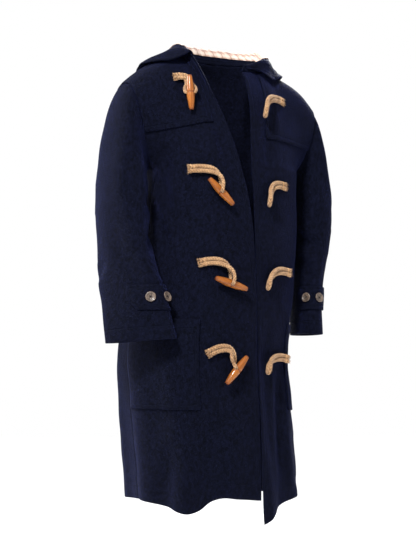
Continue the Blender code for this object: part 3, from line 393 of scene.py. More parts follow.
def makeHorn(s):
    material, tree, place = newMaterial("polishedHorn", s["shader"])
    cloud = addFibres(tree, place, *s["cloud"])
    colour = mixColours(tree, cloud["Mask"], s["dark"], s["pale"])
    finishMaterial(tree, colour, times(tree, cloud["Fuzz"], s["cloudHeight"]))
    return material


materials = {
    "navy_wool": makeWool(woolSettings),
    "checked_lining": makeLining(liningSettings),
    "jute_rope": makeJute(juteSettings),
    "toggle_wood": makeWood(woodSettings),
    "button_horn": makeHorn(hornSettings),
}
print("materials made")


def buildPiece(name, points, faces, slot, node=None):
    mesh = bpy.data.meshes.new(name)
    mesh.from_pydata(np.asarray(points, dtype=float).tolist(), [], faces)
    mesh.materials.append(materials[slot])
    mesh.shade_smooth()
    piece = addObject(name, mesh)
    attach(piece, "root")
    if node:
        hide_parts(node)
    return piece


def giveUv(piece, label, values, around=None):
    mesh = piece.data
    corners = np.empty(len(mesh.loops), dtype=np.int32)
    mesh.loops.foreach_get("vertex_index", corners)
    spots = np.asarray(values, dtype=float)[corners]
    if around:
        quads = spots.reshape(-1, 4, 2)
        wide = np.ptp(quads[:, :, 0], axis=1) > 0.5 * around
        low = quads[:, :, 0] < 0.5 * around
        quads[:, :, 0] += (wide[:, None] & low) * around
        spots = quads.reshape(-1, 2)
    layer = mesh.uv_layers.new(name=label)
    layer.uv.foreach_set("vector", spots.astype(np.float32).ravel())


def gridQuads(rows, columns, ring, flipped=False):
    spans = columns if ring else columns - 1
    r, c = np.meshgrid(np.arange(rows - 1), np.arange(spans), indexing="ij")
    d = (c + 1) % columns
    quads = np.stack((r * columns + c, r * columns + d, (r + 1) * columns + d,
                      (r + 1) * columns + c), -1).reshape(-1, 4)
    return quads[:, ::-1] if flipped else quads


# The rows and columns of each border, in order, and of the points one step in from it.
def borderLoops(rows, columns, ring):
    if ring:
        c, zero = np.arange(columns), np.zeros(columns, dtype=int)
        return [(zero, c, zero + 1, c), (zero + rows - 1, c[::-1], zero + rows - 2, c[::-1])]
    r = np.r_[[0] * columns, 1:rows, [rows - 1] * (columns - 1), rows - 2:0:-1].astype(int)
    c = np.r_[0:columns, [columns - 1] * (rows - 1), columns - 2:-1:-1, [0] * (rows - 2)].astype(int)
    return [(r, c, np.clip(r, 1, rows - 2), np.clip(c, 1, columns - 2))]


def arcLengths(grid):
    across = np.linalg.norm(np.diff(grid, axis=1), axis=2)
    up = np.linalg.norm(np.diff(grid, axis=0), axis=2)
    left = np.concatenate((np.zeros((len(grid), 1)), np.cumsum(across, axis=1)), axis=1)
    bottom = np.concatenate((np.zeros((1, grid.shape[1])), np.cumsum(up, axis=0)))
    return left, bottom


clothSettings = {"rimSteps": 4, "seamReach": 0.05}


# A wall of cloth with rounded rims between two grids of points. rims says how full each
# border's rim is, stitches how far in from a border its row of stitches runs.
def clothPiece(name, node, outer, inner, rims, stitches,
               slot="navy_wool", ring=False):
    rows, columns = outer.shape[:2]
    size = rows * columns
    points = [outer.reshape(-1, 3), inner.reshape(-1, 3)]
    faces = [gridQuads(rows, columns, ring), gridQuads(rows, columns, ring, True) + size]
    sources = [np.arange(size), np.arange(size)]
    count = 2 * size
    for r, c, nearR, nearC in borderLoops(rows, columns, ring):
        sides = {"bottom": r == 0, "top": r == rows - 1}
        if not ring:
            sides.update(left=c == 0, right=c == columns - 1)
        full = np.full(len(r), np.inf)
        for side, here in sides.items():
            full[here] = np.minimum(full[here], rims[side])
        o, i = outer[r, c], inner[r, c]
        middle = (o + i) / 2
        outward = unit(middle - (outer[nearR, nearC] + inner[nearR, nearC]) / 2)
        half = np.linalg.norm(o - i, axis=1, keepdims=True) / 2
        before = r * columns + c
        for k in range(1, clothSettings["rimSteps"]):
            angle = math.pi * k / clothSettings["rimSteps"]
            points.append(middle + (o - middle) * math.cos(angle)
                          + outward * half * full[:, None] * math.sin(angle))
            sources.append(r * columns + c)
            after = count + np.arange(len(r))
            faces.append(np.stack((np.roll(before, -1), before, after, np.roll(after, -1)), -1))
            count += len(r)
            before = after
        after = size + r * columns + c
        faces.append(np.stack((np.roll(before, -1), before, after, np.roll(after, -1)), -1))
    points, faces, sources = (np.concatenate(parts) for parts in (points, faces, sources))
    a, b, c, d = (points[faces[:, k]] for k in range(4))
    if (np.einsum("ij,ij->i", a, np.cross(b, c)) + np.einsum("ij,ij->i", a, np.cross(c, d))).sum() < 0:
        faces = faces[:, ::-1]
    piece = buildPiece(name, points, faces.tolist(), slot, node)
    closed = np.concatenate((outer, outer[:, :1]), axis=1) if ring else outer
    left, bottom = arcLengths(closed)
    right, top = left[:, -1:] - left, bottom[-1:] - bottom
    around = float(left[:, -1].mean()) if ring else None
    if ring:
        left, right, bottom, top = (part[:, :-1] for part in (left, right, bottom, top))
        left = left / left[:, -1:] * around * (1 - 1 / columns)
    giveUv(piece, "cloth", np.stack((left, bottom), -1).reshape(-1, 2)[sources], around)
    nearest = np.full(left.shape, clothSettings["seamReach"])
    along = left.copy()
    for side, inset in stitches.items():
        distance = {"left": left, "right": right, "bottom": bottom, "top": top}[side] - inset
        run = bottom if side in ("left", "right") else left
        along = np.where(distance < nearest, run, along)
        nearest = np.minimum(distance, nearest)
    giveUv(piece, "seam", np.stack((nearest, along), -1).reshape(-1, 2)[sources])


# Smooth extra rows and columns between the given ones, each about the pitch apart.
def refineRows(grid, counts):
    steps = np.linalg.norm(np.diff(grid, axis=0), axis=2).mean(axis=1)
    at = running(steps)
    slopes = np.gradient(grid, at, axis=0)
    rows = []
    for i, count in enumerate(counts):
        for k in range(count):
            rows.append(hermite(grid[i], slopes[i] * steps[i], grid[i + 1],
                                slopes[i + 1] * steps[i], k / count))
    rows.append(grid[-1])
    return np.array(rows)


def stepCounts(grid, pitch):
    steps = np.linalg.norm(np.diff(grid, axis=0), axis=2).mean(axis=1)
    return [max(2, int(round(step / pitch))) for step in steps]


def gridCounts(grid, pitch, ring=False):
    closed = np.concatenate((grid, grid[:, :1]), axis=1) if ring else grid
    return stepCounts(grid, pitch), stepCounts(closed.transpose(1, 0, 2), pitch)


# Where each given row or column stands among the finer ones.
def marks(counts):
    return [0] + np.cumsum(counts).tolist()


def refineGrid(grid, rowCounts, columnCounts, ring=False):
    grid = refineRows(grid, rowCounts)
    across = grid.transpose(1, 0, 2)
    if ring:
        across = np.concatenate((across[-3:], across, across[:4]))
        counts = columnCounts[-3:] + columnCounts + columnCounts[:3]
        fine = refineRows(across, counts)
        start = sum(columnCounts[-3:])
        return fine[start:start + sum(columnCounts)].transpose(1, 0, 2)
    return refineRows(across, columnCounts).transpose(1, 0, 2)


def gridNormals(grid, ring=False):
    if ring:
        grid = np.concatenate((grid[:, -1:], grid, grid[:, :1]), axis=1)
    faces = np.cross(grid[1:, 1:] - grid[:-1, :-1], grid[1:, :-1] - grid[:-1, 1:])
    faces /= np.linalg.norm(faces, axis=2, keepdims=True)
    normals = np.zeros_like(grid)
    for rows in (slice(1, None), slice(None, -1)):
        for columns in (slice(1, None), slice(None, -1)):
            normals[rows, columns] += faces
    if ring:
        normals = normals[:, 1:-1]
    return unit(normals)


def pullIn(grid, sides, gap):
    moved = grid.copy()
    borders = {"left": (0, 1), "right": (-1, -2), "bottom": (0, 1), "top": (-1, -2)}
    for side in sides:
        edge, near = borders[side]
        if side in ("left", "right"):
            moved[:, edge] = grid[:, edge] + unit(grid[:, near] - grid[:, edge]) * gap
        else:
            moved[edge] = grid[edge] + unit(grid[near] - grid[edge]) * gap
    return moved


creaseSettings = {"steps": 8, "fade": 0.28, "shoulder": 0.34, "shoulderAt": 1.8, "shoulderWide": 0.8}


# Creases pressed into a grid: each is a valley with soft shoulders along its path.
def creaseDepth(grid, creases, byShare=False):
    s = creaseSettings
    rows, columns = grid.shape[:2]
    moved = np.zeros((rows, columns))
    for width, depth, *path in creases:
        knots = []
        for across, place in path:
            c = int(round(across / 100 * (columns - 1)))
            r = int(round(place / 100 * (rows - 1))) if byShare else \
                int(np.argmin(np.abs(grid[:, c, 2] - place / 100)))
            knots.append((r, c))
        line = []
        for (r0, c0), (r1, c1) in zip(knots, knots[1:]):
            for k in range(s["steps"]):
                t = k / s["steps"]
                line.append(grid[int(round(r0 + (r1 - r0) * t)), int(round(c0 + (c1 - c0) * t))])
        line.append(grid[knots[-1]])
        line = np.array(line)
        best = np.full((rows, columns), np.inf)
        share = np.zeros((rows, columns))
        for k, (a, b) in enumerate(zip(line, line[1:])):
            run = b - a
            t = np.clip(((grid - a) @ run) / max(float(run @ run), 1e-12), 0.0, 1.0)
            away = np.linalg.norm(grid - a - t[..., None] * run, axis=2)
            share = np.where(away < best, (k + t) / (len(line) - 1), share)
            best = np.minimum(best, away)
        q = best / (width / 1000)
        fade = ease(0.0, s["fade"], share) * ease(0.0, s["fade"], 1 - share)
        shoulder = s["shoulder"] * np.exp(-((q - s["shoulderAt"]) / s["shoulderWide"])**2)
        moved += depth / 1000 * fade * (np.exp(-q**2) - shoulder)
    return moved


# Long uneven waves that run through all the cloth: direction, length, start and height.
waveSettings = [
    ((0.90, 0.10, 0.42), 0.190, 0.3, 0.0007),
    ((-0.35, 0.80, 0.48), 0.142, 1.9, 0.0006),
    ((0.55, -0.60, -0.58), 0.111, 4.1, 0.0005),
    ((0.15, 0.20, 0.97), 0.083, 2.6, 0.0004),
    ((0.75, 0.62, -0.22), 0.061, 5.2, 0.0003),
]


def softWaves(grid):
    total = np.zeros(grid.shape[:2])
    for direction, length, start, height in waveSettings:
        total += height * np.sin(grid @ unit(direction) * 2 * math.pi / length + start)
    return total


toggleSettings = {
    "toggle_1": {"middle": (-0.1279, -0.1089, -0.1222), "axis": (0.050, -0.080, -0.995)},
    "toggle_2": {"middle": (-0.0668, -0.1512, -0.3485), "axis": (0.690, -0.170, -0.700)},
    "toggle_3": {"middle": (-0.0432, -0.1634, -0.5550), "axis": (0.954, -0.115, -0.277)},
    "toggle_4": {"middle": (-0.0321, -0.1751, -0.7477), "axis": (-0.640, -0.005, -0.768)},
}

ropeSettings = {
    "radius": 0.0045,
    "halfSpan": 0.0048,
    "steps": 9,
    "roundSteps": 8,
    "thin": 0.80,
    "approach": 0.60,
    "corner": 1.05,
    "inside": 0.0060,
    "sides": 24,
    "pitch": 0.0008,
    "braid": 0.0062,
    "folds": 3,
    "slant": 0.9,
    "crown": 0.38,
    "relief": 0.0012,
    "sunk": 0.55,
    "opening": {"toggle": (0.50, 0.80), "loop": (0.60, 1.00)},
    "turning": (-0.20, -0.04),
    "seed": 7,
    "pathPoints": 64,
    "flare": (0.16, 0.0, 0.004),
    "neck": (-0.10, 0.009, 0.003),
}

# Each rope's route, in tenths of a millimetre, the way it faces, and where its end goes:
# round is the radius of its bend, across and beyond span its open eye.
ropeRoutes = {
    "toggle_rope_1": {
        "route": ((-1515, -808, -835), (-1380, -820, -810), (-1272, -842, -828),
                  (-1228, -868, -920), (-1228, -945, -1060), (-1279, -1089, -1222)),
        "facing": (-0.09, -0.82, 0.57), "round": 0.0126,
        "across": (-0.88, 0.47, 0.0), "about": "toggle_1",
    },
    "toggle_rope_2": {
        "route": ((-1270, -1120, -2970), (-1115, -1215, -2960), (-925, -1320, -2970),
                  (-785, -1395, -3015), (-690, -1460, -3110), (-650, -1495, -3260),
                  (-668, -1512, -3485)),
        "facing": (-0.50, -0.86, 0.03), "round": 0.0126,
        "across": (-0.34, -0.94, 0.04), "about": "toggle_2",
    },
    "toggle_rope_3": {
        "route": ((-1075, -1335, -5100), (-890, -1400, -5055), (-715, -1458, -5050),
                  (-565, -1528, -5095), (-450, -1578, -5200), (-405, -1618, -5345),
                  (-432, -1634, -5550)),
        "facing": (-0.31, -0.95, 0.09), "round": 0.0126,
        "across": (-0.47, -0.88, 0.00), "about": "toggle_3",
    },
    "toggle_rope_4": {
        "route": ((-930, -1558, -7120), (-770, -1588, -7035), (-595, -1618, -6995),
                  (-460, -1653, -7020), (-400, -1693, -7110), (-415, -1737, -7280),
                  (-321, -1751, -7477)),
        "facing": (-0.20, -0.98, 0.02), "round": 0.0136,
        "across": (-0.61, -0.60, 0.51), "about": "toggle_4",
    },
    "loop_rope_1": {
        "route": ((1279, -879, -1071), (1160, -924, -1052), (970, -1065, -1075),
                  (760, -1235, -1135), (610, -1350, -1240), (540, -1410, -1370),
                  (500, -1440, -1520)),
        "facing": (0.32, -0.90, 0.30), "round": 0.0090,
        "across": (-0.40, -0.91, 0.10), "beyond": (-0.25, -0.20, -0.95),
    },
    "loop_rope_2": {
        "route": ((1117, -1314, -3175), (935, -1376, -3165), (790, -1420, -3195),
                  (685, -1465, -3285), (625, -1510, -3435), (585, -1550, -3595)),
        "facing": (0.42, -0.91, 0.02), "round": 0.0090,
        "across": (-0.42, -0.90, 0.05), "beyond": (-0.24, -0.20, -0.95),
    },
    "loop_rope_3": {
        "route": ((1315, -1257, -5175), (1075, -1357, -5155), (890, -1427, -5180),
                  (725, -1492, -5270), (615, -1552, -5395), (560, -1602, -5515)),
        "facing": (0.58, -0.82, 0.0), "round": 0.0090,
        "across": (-0.36, -0.93, 0.05), "beyond": (-0.30, -0.20, -0.93),
    },
    "loop_rope_4": {
        "route": ((1303, -1253, -7185), (1093, -1323, -7155), (888, -1413, -7175),
                  (713, -1513, -7240), (623, -1578, -7325), (578, -1633, -7430)),
        "facing": (0.60, -0.80, 0.04), "round": 0.0090,
        "across": (-0.26, -0.96, 0.06), "beyond": (-0.25, -0.15, -0.95),
    },
}


def eyeFrame(rope):
    axis = unit(np.cross(rope["across"], rope["beyond"]))
    across = unit(rope["across"])
    return across, np.cross(axis, across)


def holeDirection(rope):
    axis = unit(toggleSettings[rope["about"]]["axis"])
    across = np.array(rope["across"])
    return unit(across - axis * np.dot(axis, across))


def tablePoint(table, names, along, flip=1.0):
    x, y, z = (readTable(table, name, along, "along") for name in names)
    return np.array((x * flip, y, z))


# The strand where it turns in an open eye.
def eyeTurns(rope, centre, s):
    across, beyond = eyeFrame(rope)
    turns = []
    for i in range(1, s["roundSteps"]):
        angle = math.pi * i / s["roundSteps"]
        spoke = across * math.cos(angle) + beyond * math.sin(angle)
        turns.append(centre + spoke * rope["round"])
    return turns


# The strand where it bends into a toggle's hole and out of it again.
def holeTurns(rope, centre, along, s):
    across = holeDirection(rope)
    axis = unit(toggleSettings[rope["about"]]["axis"])
    level = along - across * np.dot(across, along)
    level /= np.linalg.norm(level - axis * np.dot(axis, level))
    sides = []
    for way in (across, -across):
        before = centre + (way - level * s["approach"]) * rope["round"]
        corner = centre + way * rope["round"] * s["corner"]
        inside = centre + way * s["inside"]
        sides.append([before * (1 - t)**2 + corner * 2 * t * (1 - t) + inside * t**2
                      for t in (0.0, 0.25, 0.5, 0.75, 1.0)])
    return sides[0] + sides[1][::-1]


# The middle of one strand, there and back, and its share of the full thickness.
def ropePoints(rope, s):
    route = np.array(rope["route"]) / 10000
    steps = np.linalg.norm(np.diff(route, axis=0), axis=1)
    table = dict(zip("xyz", route.T), along=running(steps) / steps.sum())
    held = "about" in rope
    shares = [i / s["steps"] for i in range(s["steps"] + 1)]
    middle = np.array([tablePoint(table, "xyz", share) for share in shares])
    tangents = np.gradient(middle, axis=0)
    across = holeDirection(rope) if held else eyeFrame(rope)[0]
    opening = s["opening"]["toggle" if held else "loop"]
    kept = s["steps"] - 1 if held else s["steps"] + 1
    out, back, thick = [], [], []
    for share, point, tangent in list(zip(shares, middle, tangents))[:kept]:
        side = unit(np.cross(tangent, rope["facing"]))
        turned = ease(opening[0] + s["turning"][0], opening[1] + s["turning"][1], share)
        offset = unit(side * (1 - turned) + across * turned)
        opened = ease(*opening, share)
        span = s["halfSpan"] + (rope["round"] - s["halfSpan"]) * opened
        out.append(point + offset * span)
        back.append(point - offset * span)
        thick.append(1 - (1 - s["thin"]) * opened if held else 1.0)
    if held:
        centre = np.array(toggleSettings[rope["about"]]["middle"])
        turns = holeTurns(rope, centre, unit(tangents[-1]), s)
    else:
        turns = eyeTurns(rope, route[-1], s)
    thin = [s["thin"] if held else 1.0] * len(turns)
    return np.array(out + turns + back[::-1]), np.array(thick + thin + thick[::-1])


def smoothLine(points, shares, pitch):
    grid = points[:, None, :]
    counts = stepCounts(grid, pitch)
    at = running(counts)
    thick = np.interp(np.arange(at[-1] + 1), at, shares)
    return refineRows(grid, counts)[:, 0], thick


def carriedFrames(line, first):
    tangents = unit(np.gradient(line, axis=0))
    side = unit(first - tangents[0] * np.dot(first, tangents[0]))
    sides = []
    for tangent in tangents:
        side = unit(side - tangent * np.dot(side, tangent))
        sides.append(side)
    sides = np.array(sides)
    return sides, np.cross(tangents, sides), tangents


def spokes(frames, turn):
    across, top, _ = frames
    return across[:, None] * np.cos(turn)[None, :, None] + top[:, None] * np.sin(turn)[None, :, None]


def tubeFaces(rows, sides, base=0):
    caps = [list(range(base, base + sides))[::-1],
            list(range(base + (rows - 1) * sides, base + rows * sides))]
    return (gridQuads(rows, sides, True) + base).tolist() + caps


def braidedRope(name, node, rope, s):
    line, thick = smoothLine(*ropePoints(rope, s), s["pitch"])
    frames = carriedFrames(line, np.array(rope["facing"]))
    run = running(np.linalg.norm(np.diff(line, axis=0), axis=1))
    turn = wholeTurn(s["sides"])
    fold = np.abs((turn / (2 * math.pi) * s["folds"] * 2) % 2 - 1)
    phase = run[:, None] / s["braid"] + fold[None, :] * s["slant"]
    crown = 1 - s["crown"] + s["crown"] * np.sin(math.pi * fold)[None]
    relief = np.abs(np.sin(math.pi * phase)) * crown
    flare = 1.0
    fromEnd = np.minimum(run, run[-1] - run)[:, None]
    for swell, at, wide in (s["flare"], s["neck"]):
        flare = flare + swell * np.exp(-((fromEnd - at) / wide)**2)
    radius = (s["radius"] + s["relief"] * (relief - s["sunk"])) * flare * thick[:, None]
    points = (line[:, None] + spokes(frames, turn) * radius[..., None]).reshape(-1, 3)
    piece = buildPiece(name, points, tubeFaces(len(line), s["sides"]), "jute_rope", node)
    giveUv(piece, "seam", np.stack((relief, np.broadcast_to(run[:, None], relief.shape)),
                                   -1).reshape(-1, 2))
    return piece, line, run, frames


tubeSettings = {"relief": 0.85, "firstSide": (0.31, 0.52, 0.79)}


def thinTubes(name, lines, radius, sides, slot):
    points, faces = [], []
    turn = wholeTurn(sides)
    for line in lines:
        line = np.array(line)
        frames = carriedFrames(line, np.array(tubeSettings["firstSide"]))
        faces += tubeFaces(len(line), sides, sum(len(part) for part in points))
        points.append((line[:, None] + spokes(frames, turn) * radius).reshape(-1, 3))
    points = np.concatenate(points)
    piece = buildPiece(name, points, faces, slot)
    giveUv(piece, "seam", np.tile((tubeSettings["relief"], 0.0), (len(points), 1)))
    return piece


fraySettings = {
    "count": 60,
    "length": 0.0085,
    "shortest": 0.35,
    "start": 0.0015,
    "spot": (0.2, 0.95),
    "lean": (0.05, 0.65),
    "stray": 0.25,
    "bend": ((0.5, 0.15), (1.0, 0.55)),
    "radius": 0.00032,
}


# Loose yarn ends past each cut end.
def frayedEnds(name, line, frames, radius, random):
    s = fraySettings
    sides, tops, tangents = frames
    lines = []
    for end, direction in ((0, -1.0), (-1, 1.0)):
        out = tangents[end] * direction
        for _ in range(s["count"]):
            turn = random.uniform(0, 2 * math.pi)
            far = random.uniform(*s["spot"]) ** 0.5
            spoke = sides[end] * math.cos(turn) + tops[end] * math.sin(turn)
            foot = line[end] + spoke * far * radius - out * s["start"]
            length = s["length"] * random.uniform(s["shortest"], 1.0)
            lean = spoke * random.uniform(*s["lean"]) + unit(random.normal(size=3)) * s["stray"]
            lines.append([foot] + [foot + out * length * ahead + lean * length * aside
                                   for ahead, aside in s["bend"]])
    return thinTubes(name, lines, s["radius"], 3, "jute_rope")


whippingSettings = {
    "turns": 3,
    "start": 0.0085,
    "gap": 0.0016,
    "steps": 24,
    "square": 0.55,
    "lift": 0.0003,
    "dip": 0.0011,
    "dipWidth": 0.0022,
    "radius": 0.0005,
    "sides": 6,
}


# The yarn that binds the two strands at the sewn end.
def whipping(name, line, rope, strand):
    s = whippingSettings
    middle = (line[0] + line[-1]) / 2
    along = unit(np.array(rope["route"][1]) - np.array(rope["route"][0]))
    across = unit(line[0] - line[-1])
    up = unit(np.cross(along, across))
    if np.dot(up, rope["facing"]) < 0:
        up = -up
    half = strand["halfSpan"] + strand["radius"]
    lines = []
    for row in range(s["turns"]):
        loop = []
        for k in range(s["steps"] + 1):
            turn = math.pi * k / s["steps"]
            wide = half * signedPower(math.cos(turn), s["square"])
            tall = (strand["radius"] + s["lift"]) * signedPower(math.sin(turn), s["square"])
            dip = s["dip"] * math.exp(-(wide / s["dipWidth"])**2)
            loop.append(middle + along * (s["start"] + s["gap"] * row) + across * wide
                        + up * (tall - dip))
        lines.append(loop)
    return thinTubes(name, lines, s["radius"], s["sides"], "jute_rope")


# The name of a visible piece, from that of its node.
def pieceName(node):
    first, *rest = node.split("_")
    return first + "".join(word.title() for word in rest)


def makeRopes(s):
    random = np.random.RandomState(s["seed"])
    for node, rope in ropeRoutes.items():
        name = pieceName(node)
        piece, line, run, frames = braidedRope(name, node, rope, s)
        fray = frayedEnds(name + "Fray", line, frames, s["radius"], random)
        bind = whipping(name + "Whipping", line, rope, s)
        print(name, "length", round(float(run[-1]), 4))


makeRopes(ropeSettings)
print("ropes made")


bodySettings = {
    "cloth": 0.0035,
    "seamGap": 0.0004,
    "layerGap": 0.0008,
    "hem": -1.055,
    "pocketTop": -0.637,
    "pocketBottom": -0.836,
    "ringPower": 2 / 2.4,
    "seamRight": -88.0,
    "seamLeft": 94.0,
    "neckShare": {"front_right": 0.30, "front_left": 0.3875, "back": 8 / 18},
    "rows": (-1.0, -0.965, -0.900, -0.836, -0.787, -0.737, -0.687, -0.637,
             -0.565, -0.490, -0.420, -0.350, -0.290),
    "yokeRow": 5,
    "topRows": 9,
    "relaxRow": 14,
    "frontColumns": 12,
    "bandColumn": 2,
    "bandShare": 0.125,
    "backColumns": 18,
    "pitch": 0.0062,
    "rims": {"bottom": 1.0, "left": 1.0, "right": 0.3, "top": 0.3},
    "layerRims": {"bottom": 0.8, "left": 0.8, "right": 0.8, "top": 0.5},
    "foldMost": 1.1,
    "edgeStitch": 0.009,
    "hemStitch": 0.030,
}
ringTable = {
    "height": (-1.120, -1.055, -0.930, -0.820, -0.700, -0.580, -0.460, -0.360, -0.290),
    "halfWidth": (0.196, 0.197, 0.200, 0.199, 0.199, 0.197, 0.190, 0.186, 0.184),
    "halfDepth": (0.162, 0.161, 0.159, 0.157, 0.154, 0.149, 0.143, 0.141, 0.140),
    "centreX": (0.006, 0.004, -0.006, -0.018, -0.026, -0.007, 0.008, 0.011, 0.011),
    "centreY": (-0.003, -0.003, -0.003, -0.003, -0.001, 0.000, 0.000, 0.000, 0.000),
}
frontEdges = {
    "height": (-1.120, -1.045, -0.926, -0.813, -0.688, -0.524, -0.449, -0.369, -0.290),
    "right": (0.042, 0.040, 0.036, 0.033, 0.031, 0.029, 0.024, 0.012, -0.010),
    "left": (0.050, 0.047, 0.042, 0.038, 0.036, 0.034, 0.030, 0.026, 0.020),
}
hemTables = {
    "front_right": {
        "angle": (-100.0, -67.0, -53.0, -41.0, -32.0, -23.0, -14.0, -2.0, 16.0),
        "height": (-1.040, -1.047, -1.054, -1.064, -1.062, -1.042, -1.031, -1.034, -1.042),
    },
    "front_left": {
        "angle": (10.0, 16.0, 25.0, 36.0, 48.0, 65.0, 100.0),
        "height": (-1.092, -1.078, -1.059, -1.045, -1.037, -1.031, -1.034),
    },
    "back": {
        "angle": (80.0, 125.0, 160.0, 200.0, 235.0, 280.0),
        "height": (-1.035, -1.043, -1.054, -1.055, -1.047, -1.040),
    },
}
foldTable = {
    "angle": (-78, -58, -40, -22, -5, 14, 30, 52, 74, 98, 124, 148, 172, 196, 222, 246, 268),
    "width": (9, 8, 10, 9, 7, 7, 8, 9, 9, 10, 10, 9, 10, 9, 10, 10, 9),
    "depth": (0.006, -0.007, 0.012, -0.011, 0.004, 0.010, -0.010, 0.007, -0.008, 0.010,
              -0.009, 0.010, -0.010, 0.011, -0.010, 0.009, -0.007),
    "start": (-0.55, -0.62, -0.70, -0.66, -0.80, -0.74, -0.50, -0.62, -0.66, -0.45,
              -0.55, -0.42, -0.36, -0.48, -0.40, -0.52, -0.60),
}
shoulderSeam = {
    "along": (0.0, 0.33, 0.66, 1.0),
    "out": (0.103, 0.151, 0.201, 0.246),
    "back": (-0.004, -0.002, 0.001, 0.004),
    "height": (-0.004, -0.026, -0.056, -0.094),
}
necklines = {
    "front_right": {"along": (0.0, 0.35, 0.7, 1.0), "x": (-0.103, -0.107, -0.107, -0.103),
                    "y": (-0.064, -0.044, -0.022, -0.004),
                    "height": (-0.024, -0.018, -0.010, -0.004)},
    "front_left": {"along": (0.0, 0.33, 0.66, 1.0), "x": (0.016, 0.060, 0.095, 0.103),
                   "y": (-0.092, -0.080, -0.046, -0.004),
                   "height": (-0.050, -0.044, -0.026, -0.004)},
    "back": {"along": (0.0, 0.17, 0.33, 0.5, 0.67, 0.83, 1.0),
             "x": (0.103, 0.087, 0.051, 0.0, -0.051, -0.087, -0.103),
             "y": (-0.004, 0.040, 0.072, 0.084, 0.072, 0.040, -0.004),
             "height": (-0.004, 0.002, 0.006, 0.007, 0.006, 0.002, -0.004)},
}
yokeBottom = {
    "share": (0.0, 0.5, 1.0),
    "front_right": (-0.176, -0.196, -0.212),
    "front_left": (-0.206, -0.208, -0.203),
    "back": (-0.203, -0.207, -0.212),
}


def foldDepth(angle, height):
    total = 0.0
    rows = zip(foldTable["angle"], foldTable["width"], foldTable["depth"], foldTable["start"])
    for centre, width, depth, start in rows:
        away = (angle - centre + 180) % 360 - 180
        grow = min(max((start - height) / (start - bodySettings["hem"]), 0.0),
                   bodySettings["foldMost"])
        total += depth * grow * math.exp(-((away / width) ** 2))
    return total


def ringPoint(angle, height):
    turn = math.radians(angle)
    power = bodySettings["ringPower"]
    fold = foldDepth(angle, height)
    a, b, x, y = (readTable(ringTable, name, height) for name in
                  ("halfWidth", "halfDepth", "centreX", "centreY"))
    return np.array((x + (a + fold) * signedPower(math.sin(turn), power),
                     y - (b + fold) * signedPower(math.cos(turn), power), height))


def edgeAngle(side, height):
    x = readTable(frontEdges, side, height) - readTable(ringTable, "centreX", height)
    share = x / readTable(ringTable, "halfWidth", height)
    return math.degrees(math.asin(signedPower(share, 1 / bodySettings["ringPower"])))


# The share of the way from a panel's middle, or from its front edge, to its seam.
def outShare(piece, share):
    return np.abs(2 * share - 1) if piece == "back" else share


def sideSign(piece, share):
    right = share >= 0.5 if piece == "back" else piece == "front_right"
    return -1.0 if right else 1.0


# A panel's top: along the neck as far as its bound, then along the shoulder seam.
def topPoint(piece, share):
    bound = bodySettings["neckShare"][piece]
    edge = outShare(piece, share)
    if edge <= bound:
        along = (share - (1 - bound) / 2 if piece == "back" else share) / bound
        return tablePoint(necklines[piece], ("x", "y", "height"), along)
    return tablePoint(shoulderSeam, ("out", "back", "height"), (edge - bound) / (1 - bound),
                      sideSign(piece, share))


# How the cloth leaves the chest and arrives at the shoulder seam or the neck.
shoulderShape = {
    "neckFade": (-0.25, 0.45), "armFade": (0.72, 1.0), "leanFade": (0.0, 0.45),
    "leaveOut": 0.14, "leaveLean": -0.075, "leaveAhead": (-0.15, 0.03), "leaveUp": (0.30, 0.14),
    "arriveAhead": (0.34, -0.04), "arriveNeck": (0.16, 0.20), "arriveLean": -0.03,
    "seamFade": {"front_right": 0.08, "front_left": 0.08, "back": 0.11},
    "seamFacing": (0.50, 0.0, 0.866),
}


def upperPoint(piece, foot, share, rise):
    s = shoulderShape
    bound = bodySettings["neckShare"][piece]
    edge = outShare(piece, share)
    forward = -1.0 if piece == "back" else 1.0
    side = sideSign(piece, share)
    neck = 1 - ease(bound + s["neckFade"][0], bound + s["neckFade"][1], edge)
    arm = ease(*s["armFade"], edge)
    lean = 1 - ease(*s["leanFade"], share) if piece == "front_right" else 0.0
    leave = np.array((side * s["leaveOut"] * arm + s["leaveLean"] * lean,
                      forward * (s["leaveAhead"][0] * arm + s["leaveAhead"][1] * neck),
                      s["leaveUp"][0] * (1 - arm) + s["leaveUp"][1] * arm))
    ahead, up = s["arriveNeck"]
    shoulder = np.array((0.0, forward * (s["arriveAhead"][0] + s["arriveAhead"][1] * arm), 0.0))
    collar = np.array((s["arriveLean"] * lean, forward * ahead, up))
    return hermite(foot, leave, topPoint(piece, share), shoulder * (1 - neck) + collar * neck, rise)


# How far up its column the yoke's bottom edge stands, found by halving.
def yokeRise(piece, foot, share):
    target = readTable(yokeBottom, piece, share, "share")
    low, high = 0.0, 1.0
    for _ in range(30):
        middle = (low + high) / 2
        if upperPoint(piece, foot, share, middle)[2] < target:
            low = middle
        else:
            high = middle
    return (low + high) / 2


def panelShares(piece):
    s = bodySettings
    if piece == "back":
        return [i / s["backColumns"] for i in range(s["backColumns"] + 1)]
    shares = [s["bandShare"] * i / s["bandColumn"] for i in range(s["bandColumn"])]
    rest = s["frontColumns"] - s["bandColumn"]
    return shares + [s["bandShare"] + (1 - s["bandShare"]) * i / rest for i in range(rest + 1)]


def panelAngle(piece, share, height):
    s = bodySettings
    if piece == "back":
        return s["seamLeft"] + share * (360 + s["seamRight"] - s["seamLeft"])
    side = piece.split("_")[1]
    seam = s["seamRight"] if side == "right" else s["seamLeft"]
    start = edgeAngle(side, height)
    return start + share * (seam - start)


